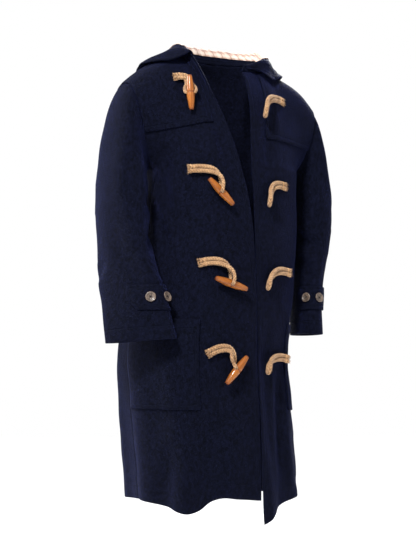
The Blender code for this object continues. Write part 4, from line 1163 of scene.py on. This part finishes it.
def panelGrid(piece):
    s = bodySettings
    shares = panelShares(piece)
    grid = []
    for row, height in enumerate(s["rows"]):
        line = []
        for share in shares:
            z = height
            if row == 0:
                z = readTable(hemTables[piece], "height", panelAngle(piece, share, s["hem"]), "angle")
            line.append(ringPoint(panelAngle(piece, share, z), z))
        grid.append(line)
    feet = grid[-1]
    rises = [yokeRise(piece, foot, share) for foot, share in zip(feet, shares)]
    for row in range(1, s["topRows"] + 1):
        line = []
        for foot, share, rise in zip(feet, shares, rises):
            if row <= s["yokeRow"]:
                t = rise * row / s["yokeRow"]
            else:
                t = rise + (1 - rise) * (row - s["yokeRow"]) / (s["topRows"] - s["yokeRow"])
            line.append(upperPoint(piece, foot, share, t))
        grid.append(line)
    grid = np.array(grid)
    if piece != "back":
        for _ in range(3):
            inner = grid[s["relaxRow"]:-1]
            inner[:, 1:-1] = inner[:, 1:-1] / 2 + (inner[:, :-2] + inner[:, 2:]) / 4
    return grid


def topNormals(piece, row):
    fixed = row.copy()
    bound = bodySettings["neckShare"][piece]
    fade = shoulderShape["seamFade"][piece]
    for i, share in enumerate(panelShares(piece)):
        seam = ease(bound - fade, bound, outShare(piece, share))
        out, ahead, up = shoulderShape["seamFacing"]
        facing = np.array((math.copysign(out, topPoint(piece, share)[0]), ahead, up))
        fixed[i] = unit(row[i] * (1 - seam) + facing * seam)
    return fixed


def bodyPanels():
    pieces = ("front_right", "front_left", "back")
    grids = {piece: panelGrid(piece) for piece in pieces}
    normals = {piece: gridNormals(grids[piece]) for piece in pieces}
    normals["front_right"] *= -1
    low = len(bodySettings["rows"])
    for piece, backColumn in (("front_left", 0), ("front_right", -1)):
        mean = unit(normals[piece][:low, -1] + normals["back"][:low, backColumn])
        normals[piece][:low, -1] = mean
        normals["back"][:low, backColumn] = mean
    for piece in pieces:
        normals[piece][-1] = topNormals(piece, normals[piece][-1])
    return grids, normals


# Creases of each panel: half-width and depth in millimetres, then a path of the share across
# in hundredths and the height in centimetres.
panelCreases = {
    "front_right": [
        (15, -6.5, (10, -2), (16, -12), (13, -22), (5, -36)),
        (20, -5.5, (30, -84), (24, -96), (27, -104)),
        (14, -6, (98, -30), (84, -33), (66, -43)),
        (12, -4.5, (95, -35), (80, -42), (72, -50)),
        (16, -4.5, (84, -22), (78, -30), (76, -37)),
        (24, -3.5, (46, -26), (52, -34), (50, -46)),
        (19, -4.5, (62, -88), (66, -103)),
        (22, -3.5, (14, -56), (20, -72), (16, -82)),
    ],
    "front_left": [
        (16, -7, (34, -72), (29, -88), (31, -103)),
        (15, -5.5, (12, -60), (10, -82), (13, -104)),
        (14, -5.5, (98, -31), (82, -37), (70, -47)),
        (20, -4.5, (62, -58), (60, -80)),
        (16, -5, (24, -8), (18, -20), (10, -32)),
        (16, -5, (52, -86), (55, -103)),
    ],
    "back": [
        (15, -6, (2, -31), (12, -35), (22, -45)),
        (12, -4, (5, -40), (16, -46)),
        (15, -5.8, (98, -31), (88, -36), (80, -47)),
        (12, -3.8, (94, -42), (84, -49)),
        (22, -4.5, (30, -26), (50, -30), (66, -27)),
        (24, -6, (38, -42), (42, -62), (40, -86)),
        (22, -5.5, (62, -50), (60, -74), (63, -98)),
        (20, -4.5, (20, -60), (22, -84)),
        (20, -4.5, (82, -66), (80, -92)),
        (18, -5, (50, -78), (52, -103)),
    ],
}


def finePanels(grids, normals):
    s = bodySettings
    fine = {}
    for piece, grid in grids.items():
        counts = gridCounts(grids["back"], s["pitch"])[0], gridCounts(grid, s["pitch"])[1]
        smooth = refineGrid(grid, *counts)
        facing = unit(refineGrid(normals[piece], *counts))
        moved = creaseDepth(smooth, panelCreases[piece]) + softWaves(smooth)
        fine[piece] = {
            "grid": smooth + facing * moved[..., None], "facing": facing,
            "rows": marks(counts[0]), "columns": marks(counts[1]), "columnCounts": counts[1],
        }
    return fine


def makePanels(fine):
    s = bodySettings
    for piece, panel in fine.items():
        sides, rims = ("right", "top"), s["rims"]
        stitches = {"bottom": s["hemStitch"], "left": s["edgeStitch"]}
        if piece == "back":
            sides, rims = ("left", "right", "top"), dict(rims, left=rims["right"])
            del stitches["left"]
        outer, inner = (pullIn(grid, sides, s["seamGap"]) for grid in
                        (panel["grid"], panel["grid"] - panel["facing"] * s["cloth"]))
        clothPiece(pieceName(piece) + "Cloth", piece, outer, inner, rims, stitches)


# A piece of cloth sewn flat on another one.
def layerPiece(node, grid, facing, sides, inset, topInset, stitches):
    s = bodySettings
    base, outer = (pullIn(pullIn(grid + facing * lift, sides, inset), ("top",), topInset)
                   for lift in (s["layerGap"], s["layerGap"] + s["cloth"]))
    clothPiece(pieceName(node) + "Cloth", node, outer, base, s["layerRims"], stitches)


yokeSettings = {
    "inset": 0.002,
    "neckInset": {"front_right": 0.001, "front_left": 0.005, "back": 0.005},
    "flats": {"front_right": ((0.27, 0.20), 0.046), "front_left": ((0.27, 0.20), 0.046),
              "back": ((0.52, 0.23), 0.105)},
}


def makeYokes(fine):
    s, y = bodySettings, yokeSettings
    for piece, panel in fine.items():
        row = panel["rows"][len(s["rows"]) - 1 + s["yokeRow"]]
        column = 0 if piece == "back" else panel["columns"][s["bandColumn"]]
        part = (slice(row, None), slice(column, None))
        shares = refineRows(np.array(panelShares(piece))[:, None, None],
                            panel["columnCounts"])[column:, 0, 0]
        atNeck = outShare(piece, shares) < s["neckShare"][piece]
        top = np.where(atNeck, y["neckInset"][piece], y["inset"])[:, None]
        sides, stitches = ("right",), {"bottom": s["edgeStitch"], "left": s["edgeStitch"]}
        if piece == "back":
            sides, stitches = ("left", "right"), {"bottom": s["edgeStitch"]}
        layerPiece("yoke_" + piece.replace("front_", ""), panel["grid"][part],
                   panel["facing"][part], sides, y["inset"], top, stitches)


pocketSettings = {
    "columns": (5, 12),
    "inset": 0.012,
    "reach": {"right": 0.012, "left": 0.0},
    "reachFade": 0.030,
    "stitches": {"bottom": 0.007, "left": 0.007, "right": 0.007, "top": 0.022},
    "flat": ((0.22, 0.20), 0.043),
}


# Moves a grid's first columns on past its left border, most at the border.
def reachOut(grid, far, fade):
    out = unit(grid[:, :1] - grid[:, 2:3])
    return grid + out * (far * (1 - ease(0.0, fade, arcLengths(grid)[0])))[..., None]


def makePockets(fine):
    s, p = bodySettings, pocketSettings
    for side in ("right", "left"):
        panel = fine["front_" + side]
        low, high = (panel["rows"][s["rows"].index(s[key])] for key in ("pocketBottom", "pocketTop"))
        first, last = (panel["columns"][column] for column in p["columns"])
        part = (slice(low, high + 1), slice(first, last + 1))
        grid = reachOut(panel["grid"][part], p["reach"][side], p["reachFade"])
        layerPiece("pocket_" + side, grid, panel["facing"][part], ("right",), p["inset"], 0.0,
                   p["stitches"])


coarseGrids, coarseNormals = bodyPanels()
fine = finePanels(coarseGrids, coarseNormals)
makePanels(fine)
makeYokes(fine)
makePockets(fine)
print("body, yokes and pockets made")


sleeveTables = {
    "right": {
        "height": (-0.692, -0.655, -0.600, -0.540, -0.480, -0.420, -0.360),
        "x": (-0.2385, -0.2405, -0.2425, -0.2460, -0.2475, -0.2480, -0.2465),
        "y": (-0.116, -0.102, -0.080, -0.053, -0.030, -0.012, -0.004),
        "halfLong": (0.079, 0.078, 0.077, 0.078, 0.080, 0.082, 0.084),
        "halfShort": (0.028, 0.030, 0.035, 0.041, 0.046, 0.050, 0.052),
        "turn": (60.0, 56.0, 46.0, 30.0, 15.0, 6.0, 2.0),
        "rise": (0.0075, 0.006, 0.003, 0.001, 0.0, 0.0, 0.0),
    },
    "left": {
        "height": (-0.655, -0.625, -0.590, -0.540, -0.480, -0.420, -0.360),
        "x": (0.2281, 0.2290, 0.2330, 0.2400, 0.2490, 0.2570, 0.2590),
        "y": (-0.052, -0.046, -0.036, -0.024, -0.010, 0.000, 0.004),
        "halfLong": (0.077, 0.077, 0.077, 0.078, 0.080, 0.082, 0.084),
        "halfShort": (0.030, 0.031, 0.033, 0.035, 0.042, 0.047, 0.049),
        "turn": (10.0, 11.0, 13.0, 14.0, 8.0, 2.0, 0.0),
        "rise": (0.0, 0.0, 0.0, 0.0, 0.0, 0.0, 0.0),
    },
}
sleeveSettings = {
    "head": (0.0, 0.10, 0.20, 0.32, 0.46, 0.62, 0.80),
    "rows": {
        "right": (-0.360, -0.400, -0.440, -0.480, -0.525, -0.568, -0.595, -0.622, -0.655, -0.687),
        "left": (-0.360, -0.400, -0.440, -0.475, -0.510, -0.544, -0.571, -0.598, -0.626, -0.655),
    },
    "underFade": (0.55, 1.0),
    "leaveOut": (0.05, 0.035),
    "leaveAhead": -0.04,
    "leaveUp": (0.045, -0.07),
    "arriveDown": (-0.07, -0.16),
    "armholeFade": 0.10,
    "rims": {"bottom": 0.3, "top": 1.0},
    "pitch": 0.0062,
    "flats": {"right": ((0.44, 0.68), 0.235), "left": ((0.44, 0.64), 0.215)},
    "cuffStitch": 0.028,
}
# Sleeve creases in the same way, the share going round the arm from its inner side, with 25
# at the front.
sleeveCreases = {
    "right": [
        (12, -8, (3, -40), (12, -44), (22, -50)),
        (10, -5.5, (2, -46), (10, -51), (18, -55)),
        (12, -5.5, (5, -35), (16, -39)),
        (18, -5, (30, -22), (27, -34), (22, -42)),
        (18, -4.2, (45, -42), (40, -52), (36, -60)),
        (13, -6, (80, -43), (93, -46), (99, -48)),
        (10, -4, (82, -50), (92, -53)),
        (18, -4.8, (70, -28), (74, -42)),
        (16, -4.2, (60, -50), (72, -56)),
        (11, -4, (14, -58), (24, -62)),
    ],
    "left": [
        (12, -7.5, (3, -40), (12, -43), (22, -45)),
        (11, -5.5, (4, -45), (14, -48.5), (20, -53)),
        (16, -4.5, (28, -22), (25, -35)),
        (18, -4.2, (44, -40), (40, -50)),
        (13, -6, (80, -42), (94, -45)),
        (10, -4, (82, -49), (93, -52)),
        (18, -4.5, (72, -26), (75, -40)),
    ],
}


def armhole(side):
    low = len(bodySettings["rows"]) - 1
    front = "front_" + side
    column = 0 if side == "left" else -1
    loops = []
    for depth in (0.0, bodySettings["cloth"]):
        ahead = coarseGrids[front][low:, -1] - coarseNormals[front][low:, -1] * depth
        behind = coarseGrids["back"][low:, column] - coarseNormals["back"][low:, column] * depth
        loops.append(np.concatenate((ahead, behind[1:-1][::-1])))
    return loops


def sleeveRing(side, height, count):
    x, y, long, short, turn, rise = (readTable(sleeveTables[side], name, height) for name in
                                     ("x", "y", "halfLong", "halfShort", "turn", "rise"))
    sign = 1.0 if side == "left" else -1.0
    swing = math.radians(turn)
    ahead = np.array((-sign * math.sin(swing), -math.cos(swing), 0.0))
    out = np.array((sign * math.cos(swing), -math.sin(swing), 0.0))
    angle = wholeTurn(count)[:, None]
    return (np.array((x, y, height)) - out * short * np.cos(angle)
            + (ahead * long + np.array((0.0, 0.0, rise))) * np.sin(angle))


def sleeveGrid(side):
    s = sleeveSettings
    outerLoop, innerLoop = armhole(side)
    count = len(outerLoop)
    sign = 1.0 if side == "left" else -1.0
    first = sleeveRing(side, s["rows"][side][0], count)
    rows = []
    for t in s["head"]:
        line = []
        for i, turn in enumerate(wholeTurn(count)):
            under = ease(*s["underFade"], math.cos(turn))
            over = 0.5 - 0.5 * math.cos(turn)
            leave = np.array((sign * (s["leaveOut"][0] + s["leaveOut"][1] * over),
                              s["leaveAhead"] * math.sin(turn),
                              s["leaveUp"][0] * under + s["leaveUp"][1] * over * (1 - under)))
            arrive = np.array((0.0, 0.0, s["arriveDown"][0] + s["arriveDown"][1] * over))
            line.append(hermite(outerLoop[i], leave, first[i], arrive, t))
        rows.append(line)
    rows += [sleeveRing(side, height, count) for height in s["rows"][side]]
    outer = np.array(rows)
    facing = gridNormals(outer, ring=True)
    if side == "right":
        facing = -facing
    inner = outer + facing * bodySettings["cloth"]
    away = unit(outer[1] - outer[0])
    outer[0] = outerLoop + away * bodySettings["seamGap"]
    inner[0] = innerLoop + away * bodySettings["seamGap"]
    return outer, inner


cuffSettings = {
    "rows": (5, 7),
    "right": {"first": 3, "last": 9, "buttons": (5, 7)},
    "left": {"first": 1, "last": 7, "buttons": (3, 5)},
    "corner": 0.45,
    "cornerStart": 0.35,
    "rims": {"bottom": 0.9, "top": 0.9, "left": 0.3, "right": 0.9},
    "stitch": 0.007,
    "flat": ((0.155, 0.054), 0.0079),
}
buttonSettings = {
    "along": (0.0, 0.0010, 0.0022, 0.0031, 0.0035, 0.0034, 0.0028, 0.0022, 0.0020),
    "radius": (0.0098, 0.0112, 0.0115, 0.0111, 0.0102, 0.0093, 0.0083, 0.0074, 0.0060),
    "face": 0.0019,
    "faceRings": 14,
    "middle": 0.0001,
    "sides": 40,
    "holes": 0.002375,
    "holeRadius": 0.0009,
    "holeDepth": 0.0016,
    "holeFade": (0.5, 1.5),
    "sunkAbove": 0.0015,
    "thread": 0.00026,
    "threadSides": 5,
    "threadGap": 0.00022,
    "threadRise": 0.0006,
    "threadSink": 0.0012,
    "threadSteps": 8,
    "threadEnd": 0.8,
}


def turnedMesh(profile, sides):
    along, radius = (np.array(values)[:, None] for values in zip(*profile))
    turn = wholeTurn(sides)
    points = np.stack((radius * np.cos(turn), radius * np.sin(turn), along + 0 * turn), -1)
    return points.reshape(-1, 3), tubeFaces(len(profile), sides)


def placeAlong(piece, foot, axis):
    turn = Vector((0, 0, 1)).rotation_difference(Vector(unit(axis)))
    piece.matrix_world = Matrix.Translation(Vector(foot)) @ turn.to_matrix().to_4x4()


def makeButton(node, foot, axis):
    s = buttonSettings
    profile = list(zip(s["along"], s["radius"]))
    # a finer face inside the rim, so that the four holes can be sunk in it
    rings = s["faceRings"]
    profile += [(s["face"], s["radius"][-1] * (1 - k / rings)) for k in range(1, rings)]
    points, faces = turnedMesh(profile + [(s["face"], s["middle"])], s["sides"])
    spots = [np.array((math.cos(turn), math.sin(turn), 0.0)) * s["holes"]
             for turn in (math.pi / 4 + math.pi / 2 * k for k in range(4))]
    for spot in spots:
        away = np.linalg.norm((points - spot)[:, :2], axis=1) / s["holeRadius"]
        sunk = (points[:, 2] > s["sunkAbove"]) & (away < s["holeFade"][1])
        points[sunk, 2] -= s["holeDepth"] * (1 - ease(*s["holeFade"], away[sunk]))
    name = pieceName(node)
    placeAlong(buildPiece(name, points, faces, "button_horn", node), foot, axis)
    # sewing thread crossing between the holes
    lines = []
    for spot in spots[:2]:
        shift = unit((-spot[1], spot[0], 0.0)) * s["threadGap"]
        for side in (-1, 1):
            line = []
            for t in np.linspace(-1, 1, s["threadSteps"] + 1):
                sink = s["threadSink"] * max(abs(t) - s["threadEnd"], 0) / (1 - s["threadEnd"])
                up = s["face"] + s["threadRise"] * (1 - t * t) - sink
                line.append(spot * t + shift * side + np.array((0, 0, up)))
            lines.append(line)
    placeAlong(thinTubes(name + "Thread", lines, s["thread"], s["threadSides"], "navy_wool"), foot, axis)


def makeSleeves():
    s = sleeveSettings
    for side in ("right", "left"):
        outer, inner = sleeveGrid(side)
        counts = gridCounts(outer, s["pitch"], True)
        fineOuter, fineFacing, fineInner = (refineGrid(grid, *counts, True) for grid in
                                            (outer, unit(outer - inner), inner))
        fineFacing = unit(fineFacing)
        waves = softWaves(fineOuter)
        held = ease(0.0, s["armholeFade"], np.linspace(0, 1, len(fineOuter)))[:, None]
        moved = creaseDepth(fineOuter, sleeveCreases[side]) * held + waves
        shift = fineFacing * moved[..., None]
        fineOuter = fineOuter + shift
        clothPiece(pieceName("sleeve_" + side) + "Cloth", "sleeve_" + side, fineOuter,
                   fineInner + shift, s["rims"], {"top": s["cuffStitch"]},
                   ring=True)
        makeCuffStrap(side, fineOuter, fineFacing, counts)


def makeCuffStrap(side, outer, facing, counts):
    b, c = bodySettings, cuffSettings
    rows, columns = (marks(part) for part in counts)
    strap = c[side]
    head = len(sleeveSettings["head"])
    top, bottom = (rows[head + row] for row in c["rows"])
    first, last = columns[strap["first"]], columns[strap["last"]]
    part = (slice(top, bottom + 1), slice(first, last + 1))
    grid, face = outer[part].copy(), facing[part]
    # the far end is cut to a blunt point
    reach = counts[1][strap["last"] - 1]
    spots = np.arange(grid.shape[1])
    past = np.maximum(spots - spots[-1] + reach, 0)
    for row, line in enumerate(outer[part]):
        edge = abs(2 * row / (len(grid) - 1) - 1)
        back = c["corner"] * max(edge - c["cornerStart"], 0.0) / (1 - c["cornerStart"])
        grid[row] = np.stack([np.interp(spots - past * back, spots, line[:, axis])
                              for axis in range(3)], -1)
    clothPiece("cuffStrap" + side.title(), "cuff_tab_" + side,
               grid + face * (b["layerGap"] + b["cloth"]), grid + face * b["layerGap"],
               c["rims"], dict.fromkeys(("bottom", "top", "right"), c["stitch"]))
    middle = rows[head + sum(c["rows"]) // 2]
    for number, column in enumerate(strap["buttons"], 1):
        out = facing[middle, columns[column]]
        foot = outer[middle, columns[column]] + out * (2 * b["layerGap"] + b["cloth"])
        makeButton("cuff_button_%s_%d" % (side, number), foot, out)


makeSleeves()
print("sleeves, straps and buttons made")


# Sections of the hood round the neck: out and up are in millimetres, round is a share.
hoodStations = (
    {"round": 0.00, "facing": 2.6, "swing": -14,
     "out": (0, 0.6, 1.6, 3.4, 5.6, 8, 10, 11.8, 13),
     "up": (0, 3.4, 5.6, 7.2, 8, 7.8, 6.8, 5, 3)},
    {"round": 0.09, "facing": 2.6, "swing": -8,
     "out": (0, 2, 6, 13, 21, 30, 39, 47, 54),
     "up": (0, 8, 12, 12, 8, 1, -8, -17, -26)},
    {"round": 0.17, "facing": 2.6, "swing": 0,
     "out": (0, 3, 8, 17, 31, 47, 63, 76, 85),
     "up": (0, 10, 16, 14, 4, -6, -15, -22, -33)},
    {"round": 0.31, "facing": 4.6, "swing": 46,
     "out": (0, 3, 10, 30, 50, 76, 100, 112, 110),
     "up": (0, 13, 18, -6, -60, -106, -96, -66, -46)},
    {"round": 0.40, "facing": 5.4, "swing": 71,
     "out": (0, 3, 11, 36, 57, 82, 112, 130, 127),
     "up": (0, 22, 34, -10, -95, -176, -158, -96, -42)},
    {"round": 0.50, "facing": 6.2, "swing": 90,
     "out": (0, 3, 14, 44, 63, 88, 124, 146, 142),
     "up": (0, 22, 34, -20, -130, -235, -212, -120, -40)},
    {"round": 0.69, "facing": 4.6, "swing": 128,
     "out": (0, 4, 14, 36, 56, 80, 104, 117, 114),
     "up": (0, 18, 31, 18, -40, -93, -81, -45, -17)},
    {"round": 0.84, "facing": 2.6, "swing": 166,
     "out": (0, 3, 9, 18, 28, 36, 43, 48, 51),
     "up": (0, 14, 26, 31, 27, 18, 7, -5, -16)},
    {"round": 1.00, "facing": 2.6, "swing": 174,
     "out": (0, 1, 2, 4, 6, 8, 10, 11, 12),
     "up": (0, 4, 7, 10, 12, 12, 11, 9, 6)},
)
hoodSettings = {
    "rows": 12,
    "facingRow": 8,
    "liningMargin": 4,
    "clear": 0.0082,
    "clearRow": 3,
    "reach": 0.040,
    "over": 0.9,
    "lining": 0.0012,
    "pitch": 0.0060,
    "neckFade": 0.12,
    "rims": {"bottom": 0.3, "top": 1.0, "left": 1.0, "right": 1.0},
    "stitches": {"top": 0.010, "bottom": 0.006},
    "liningRims": dict.fromkeys(("bottom", "top", "left", "right"), 0.5),
    "flat": ((0.62, 0.42), 0.190),
    "liningFlat": ((0.50, 0.32), 0.100),
}
# Hood creases, with the share along the section in hundredths in place of a height.
hoodCreases = [
    (14, -4.5, (46, 10), (44, 40), (47, 62)),
    (13, -4, (60, 20), (57, 45), (55, 60)),
    (14, -4, (34, 25), (40, 45), (43, 64)),
    (9, -3, (72, 30), (80, 45), (86, 60)),
    (10, -2.5, (14, 40), (22, 55), (30, 70)),
    (12, -3, (42, 80), (50, 86), (60, 80)),
]


def neckSeam():
    bounds = bodySettings["neckShare"]
    right, left = ([grid[-1, i] for i, share in enumerate(panelShares(piece))
                    if share <= bounds[piece] + 1e-6]
                   for piece, grid in coarseGrids.items() if piece != "back")
    count = bodySettings["backColumns"]
    first = round((1 - bounds["back"]) / 2 * count)
    back = [coarseGrids["back"][-1, i] for i in range(count - first - 1, first, -1)]
    points = right + back + left[::-1]
    seam = [points[0]]
    for before, after in zip(points, points[1:]):
        seam += [(before + after) / 2, after]
    return seam


def hoodSection(along):
    places = [station["round"] for station in hoodStations]

    def mix(values):
        return readTable({"round": places, "value": values}, "value", along, "round")

    outs, ups = ([mix(values) / 1000 for values in zip(*(station[key] for station in hoodStations))]
                 for key in ("out", "up"))
    facing, swing = (mix([station[key] for station in hoodStations]) for key in ("facing", "swing"))
    return outs, ups, facing, math.radians(swing)


def hoodGrid():
    s = hoodSettings
    seam = neckSeam()
    columns = []
    for i, foot in enumerate(seam):
        outs, ups, facing, swing = hoodSection(i / (len(seam) - 1))
        away = np.array((-math.cos(swing), math.sin(swing), 0.0))
        knots = {"knot": range(len(outs)), "out": outs, "up": ups}
        marked = ((0, s["facingRow"], s["rows"]), (0.0, facing, len(outs) - 1))
        line = []
        for row in range(s["rows"] + 1):
            out, up = (readTable(knots, key, np.interp(row, *marked), "knot") for key in ("out", "up"))
            line.append(foot + away * out + np.array((0.0, 0.0, up + bodySettings["seamGap"])))
        columns.append(line)
    return np.array(columns).transpose(1, 0, 2)


def shoulderSkin():
    low = len(bodySettings["rows"]) + 2
    lift = bodySettings["layerGap"] + bodySettings["cloth"]
    points, faces = [], []
    for piece, grid in coarseGrids.items():
        top = (grid + coarseNormals[piece] * lift)[low:]
        rows, columns = top.shape[:2]
        quads = gridQuads(rows, columns, False, piece == "front_right") + len(points)
        faces += quads.tolist()
        points += [Vector(point) for point in top.reshape(-1, 3).tolist()]
    return BVHTree.FromPolygons(points, faces)


def restOnShoulders(outer):
    s = hoodSettings
    skin = shoulderSkin()
    moved = outer.copy()
    for row in range(1, len(outer)):
        clear = s["clear"] * min(row / s["clearRow"], 1.0)
        for column in range(outer.shape[1]):
            point = Vector(outer[row, column])
            for _ in range(4):
                near, facing, _, reach = skin.find_nearest(point)
                depth = (point - near).dot(facing)
                over = abs(depth) > s["over"] * reach
                if over and reach < s["reach"] and depth < clear:
                    point += facing * (clear - depth)
            moved[row, column] = point
    return moved


def makeHood():
    s, b = hoodSettings, bodySettings
    outer = restOnShoulders(hoodGrid())
    facing = gridNormals(outer)
    if facing[1, len(facing[1]) // 2][1] > 0:
        facing = -facing
    facing[0] = unit(facing[0] * np.array((1.0, 1.0, 0.0)))
    counts = gridCounts(outer, s["pitch"])
    smooth = refineGrid(outer, *counts)
    away = unit(refineGrid(facing, *counts))
    moved = creaseDepth(smooth, hoodCreases, byShare=True) + softWaves(smooth)
    held = ease(0.0, s["neckFade"], np.linspace(0, 1, len(smooth)))[:, None]
    smooth = smooth + away * (moved * held)[..., None]
    inner = smooth + away * b["cloth"]
    clothPiece("hoodCloth", "hood", smooth, inner, s["rims"], s["stitches"])
    rows, columns = (marks(part) for part in counts)
    margin = s["liningMargin"]
    part = (slice(rows[1], rows[s["facingRow"]] + 1),
            slice(columns[margin], columns[-1 - margin] + 1))
    near = inner[part] + away[part] * b["layerGap"]
    clothPiece("hoodLining", "hood_lining", near + away[part] * s["lining"], near,
               s["liningRims"], {}, slot="checked_lining")


makeHood()
print("hood made")


# Half of a toggle, from its waist to its end.
toggleProfile = {
    "along": (0.0006, 0.0013, 0.0022, 0.0044, 0.0075, 0.0110, 0.0180, 0.0300, 0.0370, 0.0388,
              0.0397, 0.0400),
    "radius": (0.0082, 0.0088, 0.0090, 0.0090, 0.0089, 0.0086, 0.0080, 0.0064, 0.0053, 0.0048,
               0.0042, 0.0034),
    "waist": 0.0080,
    "sides": 48,
    "pitch": 0.0012,
    "holeReach": 0.0044,
    "holeRadius": 0.0043,
    "sharp": 50,
}


# A turned toggle with a hole through its waist: the vertices next to the hole are moved onto
# its rim, the faces inside the rim are left out, and a tube joins the two rims.
def piercedMesh(s):
    along = np.concatenate((-np.array(s["along"])[::-1], (0.0,), s["along"]))
    radius = np.concatenate((s["radius"][::-1], (s["waist"],), s["radius"]))
    rows = [along[0]]
    for low, high in zip(along, along[1:]):
        count = max(1, int(round((high - low) / s["pitch"])))
        rows += [low + (high - low) * k / count for k in range(1, count + 1)]
    rows = np.array(rows)
    radii = np.interp(rows, along, radius)
    sides, half = s["sides"], s["sides"] // 2
    low = int(np.argmin(np.abs(rows + s["holeReach"])))
    high = int(np.argmin(np.abs(rows - s["holeReach"])))
    wide = int(round(s["holeReach"] / s["waist"] / (2 * math.pi) * sides))
    turns = np.tile(wholeTurn(sides), (len(rows), 1))
    heights = np.tile(rows[:, None], (1, sides))
    rim = [(low, c) for c in range(-wide, wide)] + [(r, wide) for r in range(low, high)]
    rim += [(high, c) for c in range(wide, -wide, -1)] + [(r, -wide) for r in range(high, low, -1)]
    for row, column in rim:
        around = math.atan2(rows[row], 2 * math.pi * column / sides * s["waist"])
        for middle in (0, half):
            turn = s["holeRadius"] * math.cos(around) / s["waist"]
            turns[row, (middle + column) % sides] = 2 * math.pi * middle / sides + turn
            heights[row, (middle + column) % sides] = s["holeRadius"] * math.sin(around)
    reach = np.where(heights == rows[:, None], radii[:, None], np.interp(heights, rows, radii))
    points = np.stack((reach * np.cos(turns), reach * np.sin(turns), heights), -1).reshape(-1, 3)
    faces = []
    for i, face in enumerate(tubeFaces(len(rows), sides)):
        row, column = divmod(i, sides)
        if not (low <= row < high and (column + wide) % half < 2 * wide):
            faces.append(face)
    near = [row * sides + column % sides for row, column in rim]
    far = [row * sides + (half - column) % sides for row, column in rim]
    for i, here in enumerate(near):
        after = (i + 1) % len(near)
        faces.append([here, near[after], far[after], far[i]])
    used = sorted({corner for face in faces for corner in face})
    place = {corner: i for i, corner in enumerate(used)}
    return points[used], [[place[corner] for corner in face] for face in faces]


def makeToggles(s):
    for rope in ropeRoutes.values():
        if "about" in rope:
            node = rope["about"]
            piece = buildPiece(pieceName(node), *piercedMesh(s), "toggle_wood", node)
            piece.data.set_sharp_from_angle(angle=math.radians(s["sharp"]))
            across, axis = holeDirection(rope), unit(toggleSettings[node]["axis"])
            turn = Matrix([list(row) for row in zip(across, np.cross(axis, across), axis)])
            place = Matrix.Translation(toggleSettings[node]["middle"])
            piece.matrix_world = place @ turn.to_4x4()


makeToggles(toggleProfile)
print("toggles made")


stageSettings = {
    "floorHeight": -1.52,
    "floorHalf": 12.0,
    "floor": {"Base Color": (1.0, 1.0, 1.0, 1), "Roughness": 0.9},
    "background": {"Color": (1.0, 1.0, 1.0, 1), "Strength": 1.0},
    "lightsAimAt": (0.0, 0.0, -0.5),
}
lightSettings = {
    "key": {"place": (-1.7, -1.5, 1.3), "size": 0.6, "power": 210.0},
    "fill": {"place": (1.9, -2.8, 0.9), "size": 1.6, "power": 30.0},
    "edge": {"place": (1.5, 1.6, 1.5), "size": 1.0, "power": 260.0},
    "rim": {"place": (-2.1, 1.3, 0.8), "size": 0.8, "power": 150.0},
}


def makeStage(s):
    mesh = bpy.data.meshes.new("floor")
    size, z = s["floorHalf"], s["floorHeight"]
    mesh.from_pydata([(-size, -size, z), (size, -size, z), (size, size, z), (-size, size, z)],
                     [], [(0, 1, 2, 3)])
    mesh.materials.append(newMaterial("paleFloor", s["floor"])[0])
    addObject("floor", mesh)
    world = bpy.data.worlds.new("studio")
    world.use_nodes = True
    for key, value in s["background"].items():
        world.node_tree.nodes["Background"].inputs[key].default_value = value
    bpy.context.scene.world = world


def makeLights(lights):
    target = Vector(stageSettings["lightsAimAt"])
    for name, s in lights.items():
        data = bpy.data.lights.new(name, "AREA")
        data.shape = "DISK"
        data.size = s["size"]
        data.energy = s["power"]
        lamp = addObject(name, data)
        lamp.location = s["place"]
        lamp.rotation_euler = (target - Vector(s["place"])).to_track_quat("-Z", "Y").to_euler()


makeStage(stageSettings)
makeLights(lightSettings)
bpy.context.scene.view_settings.view_transform = "Standard"
print("floor and lights made")
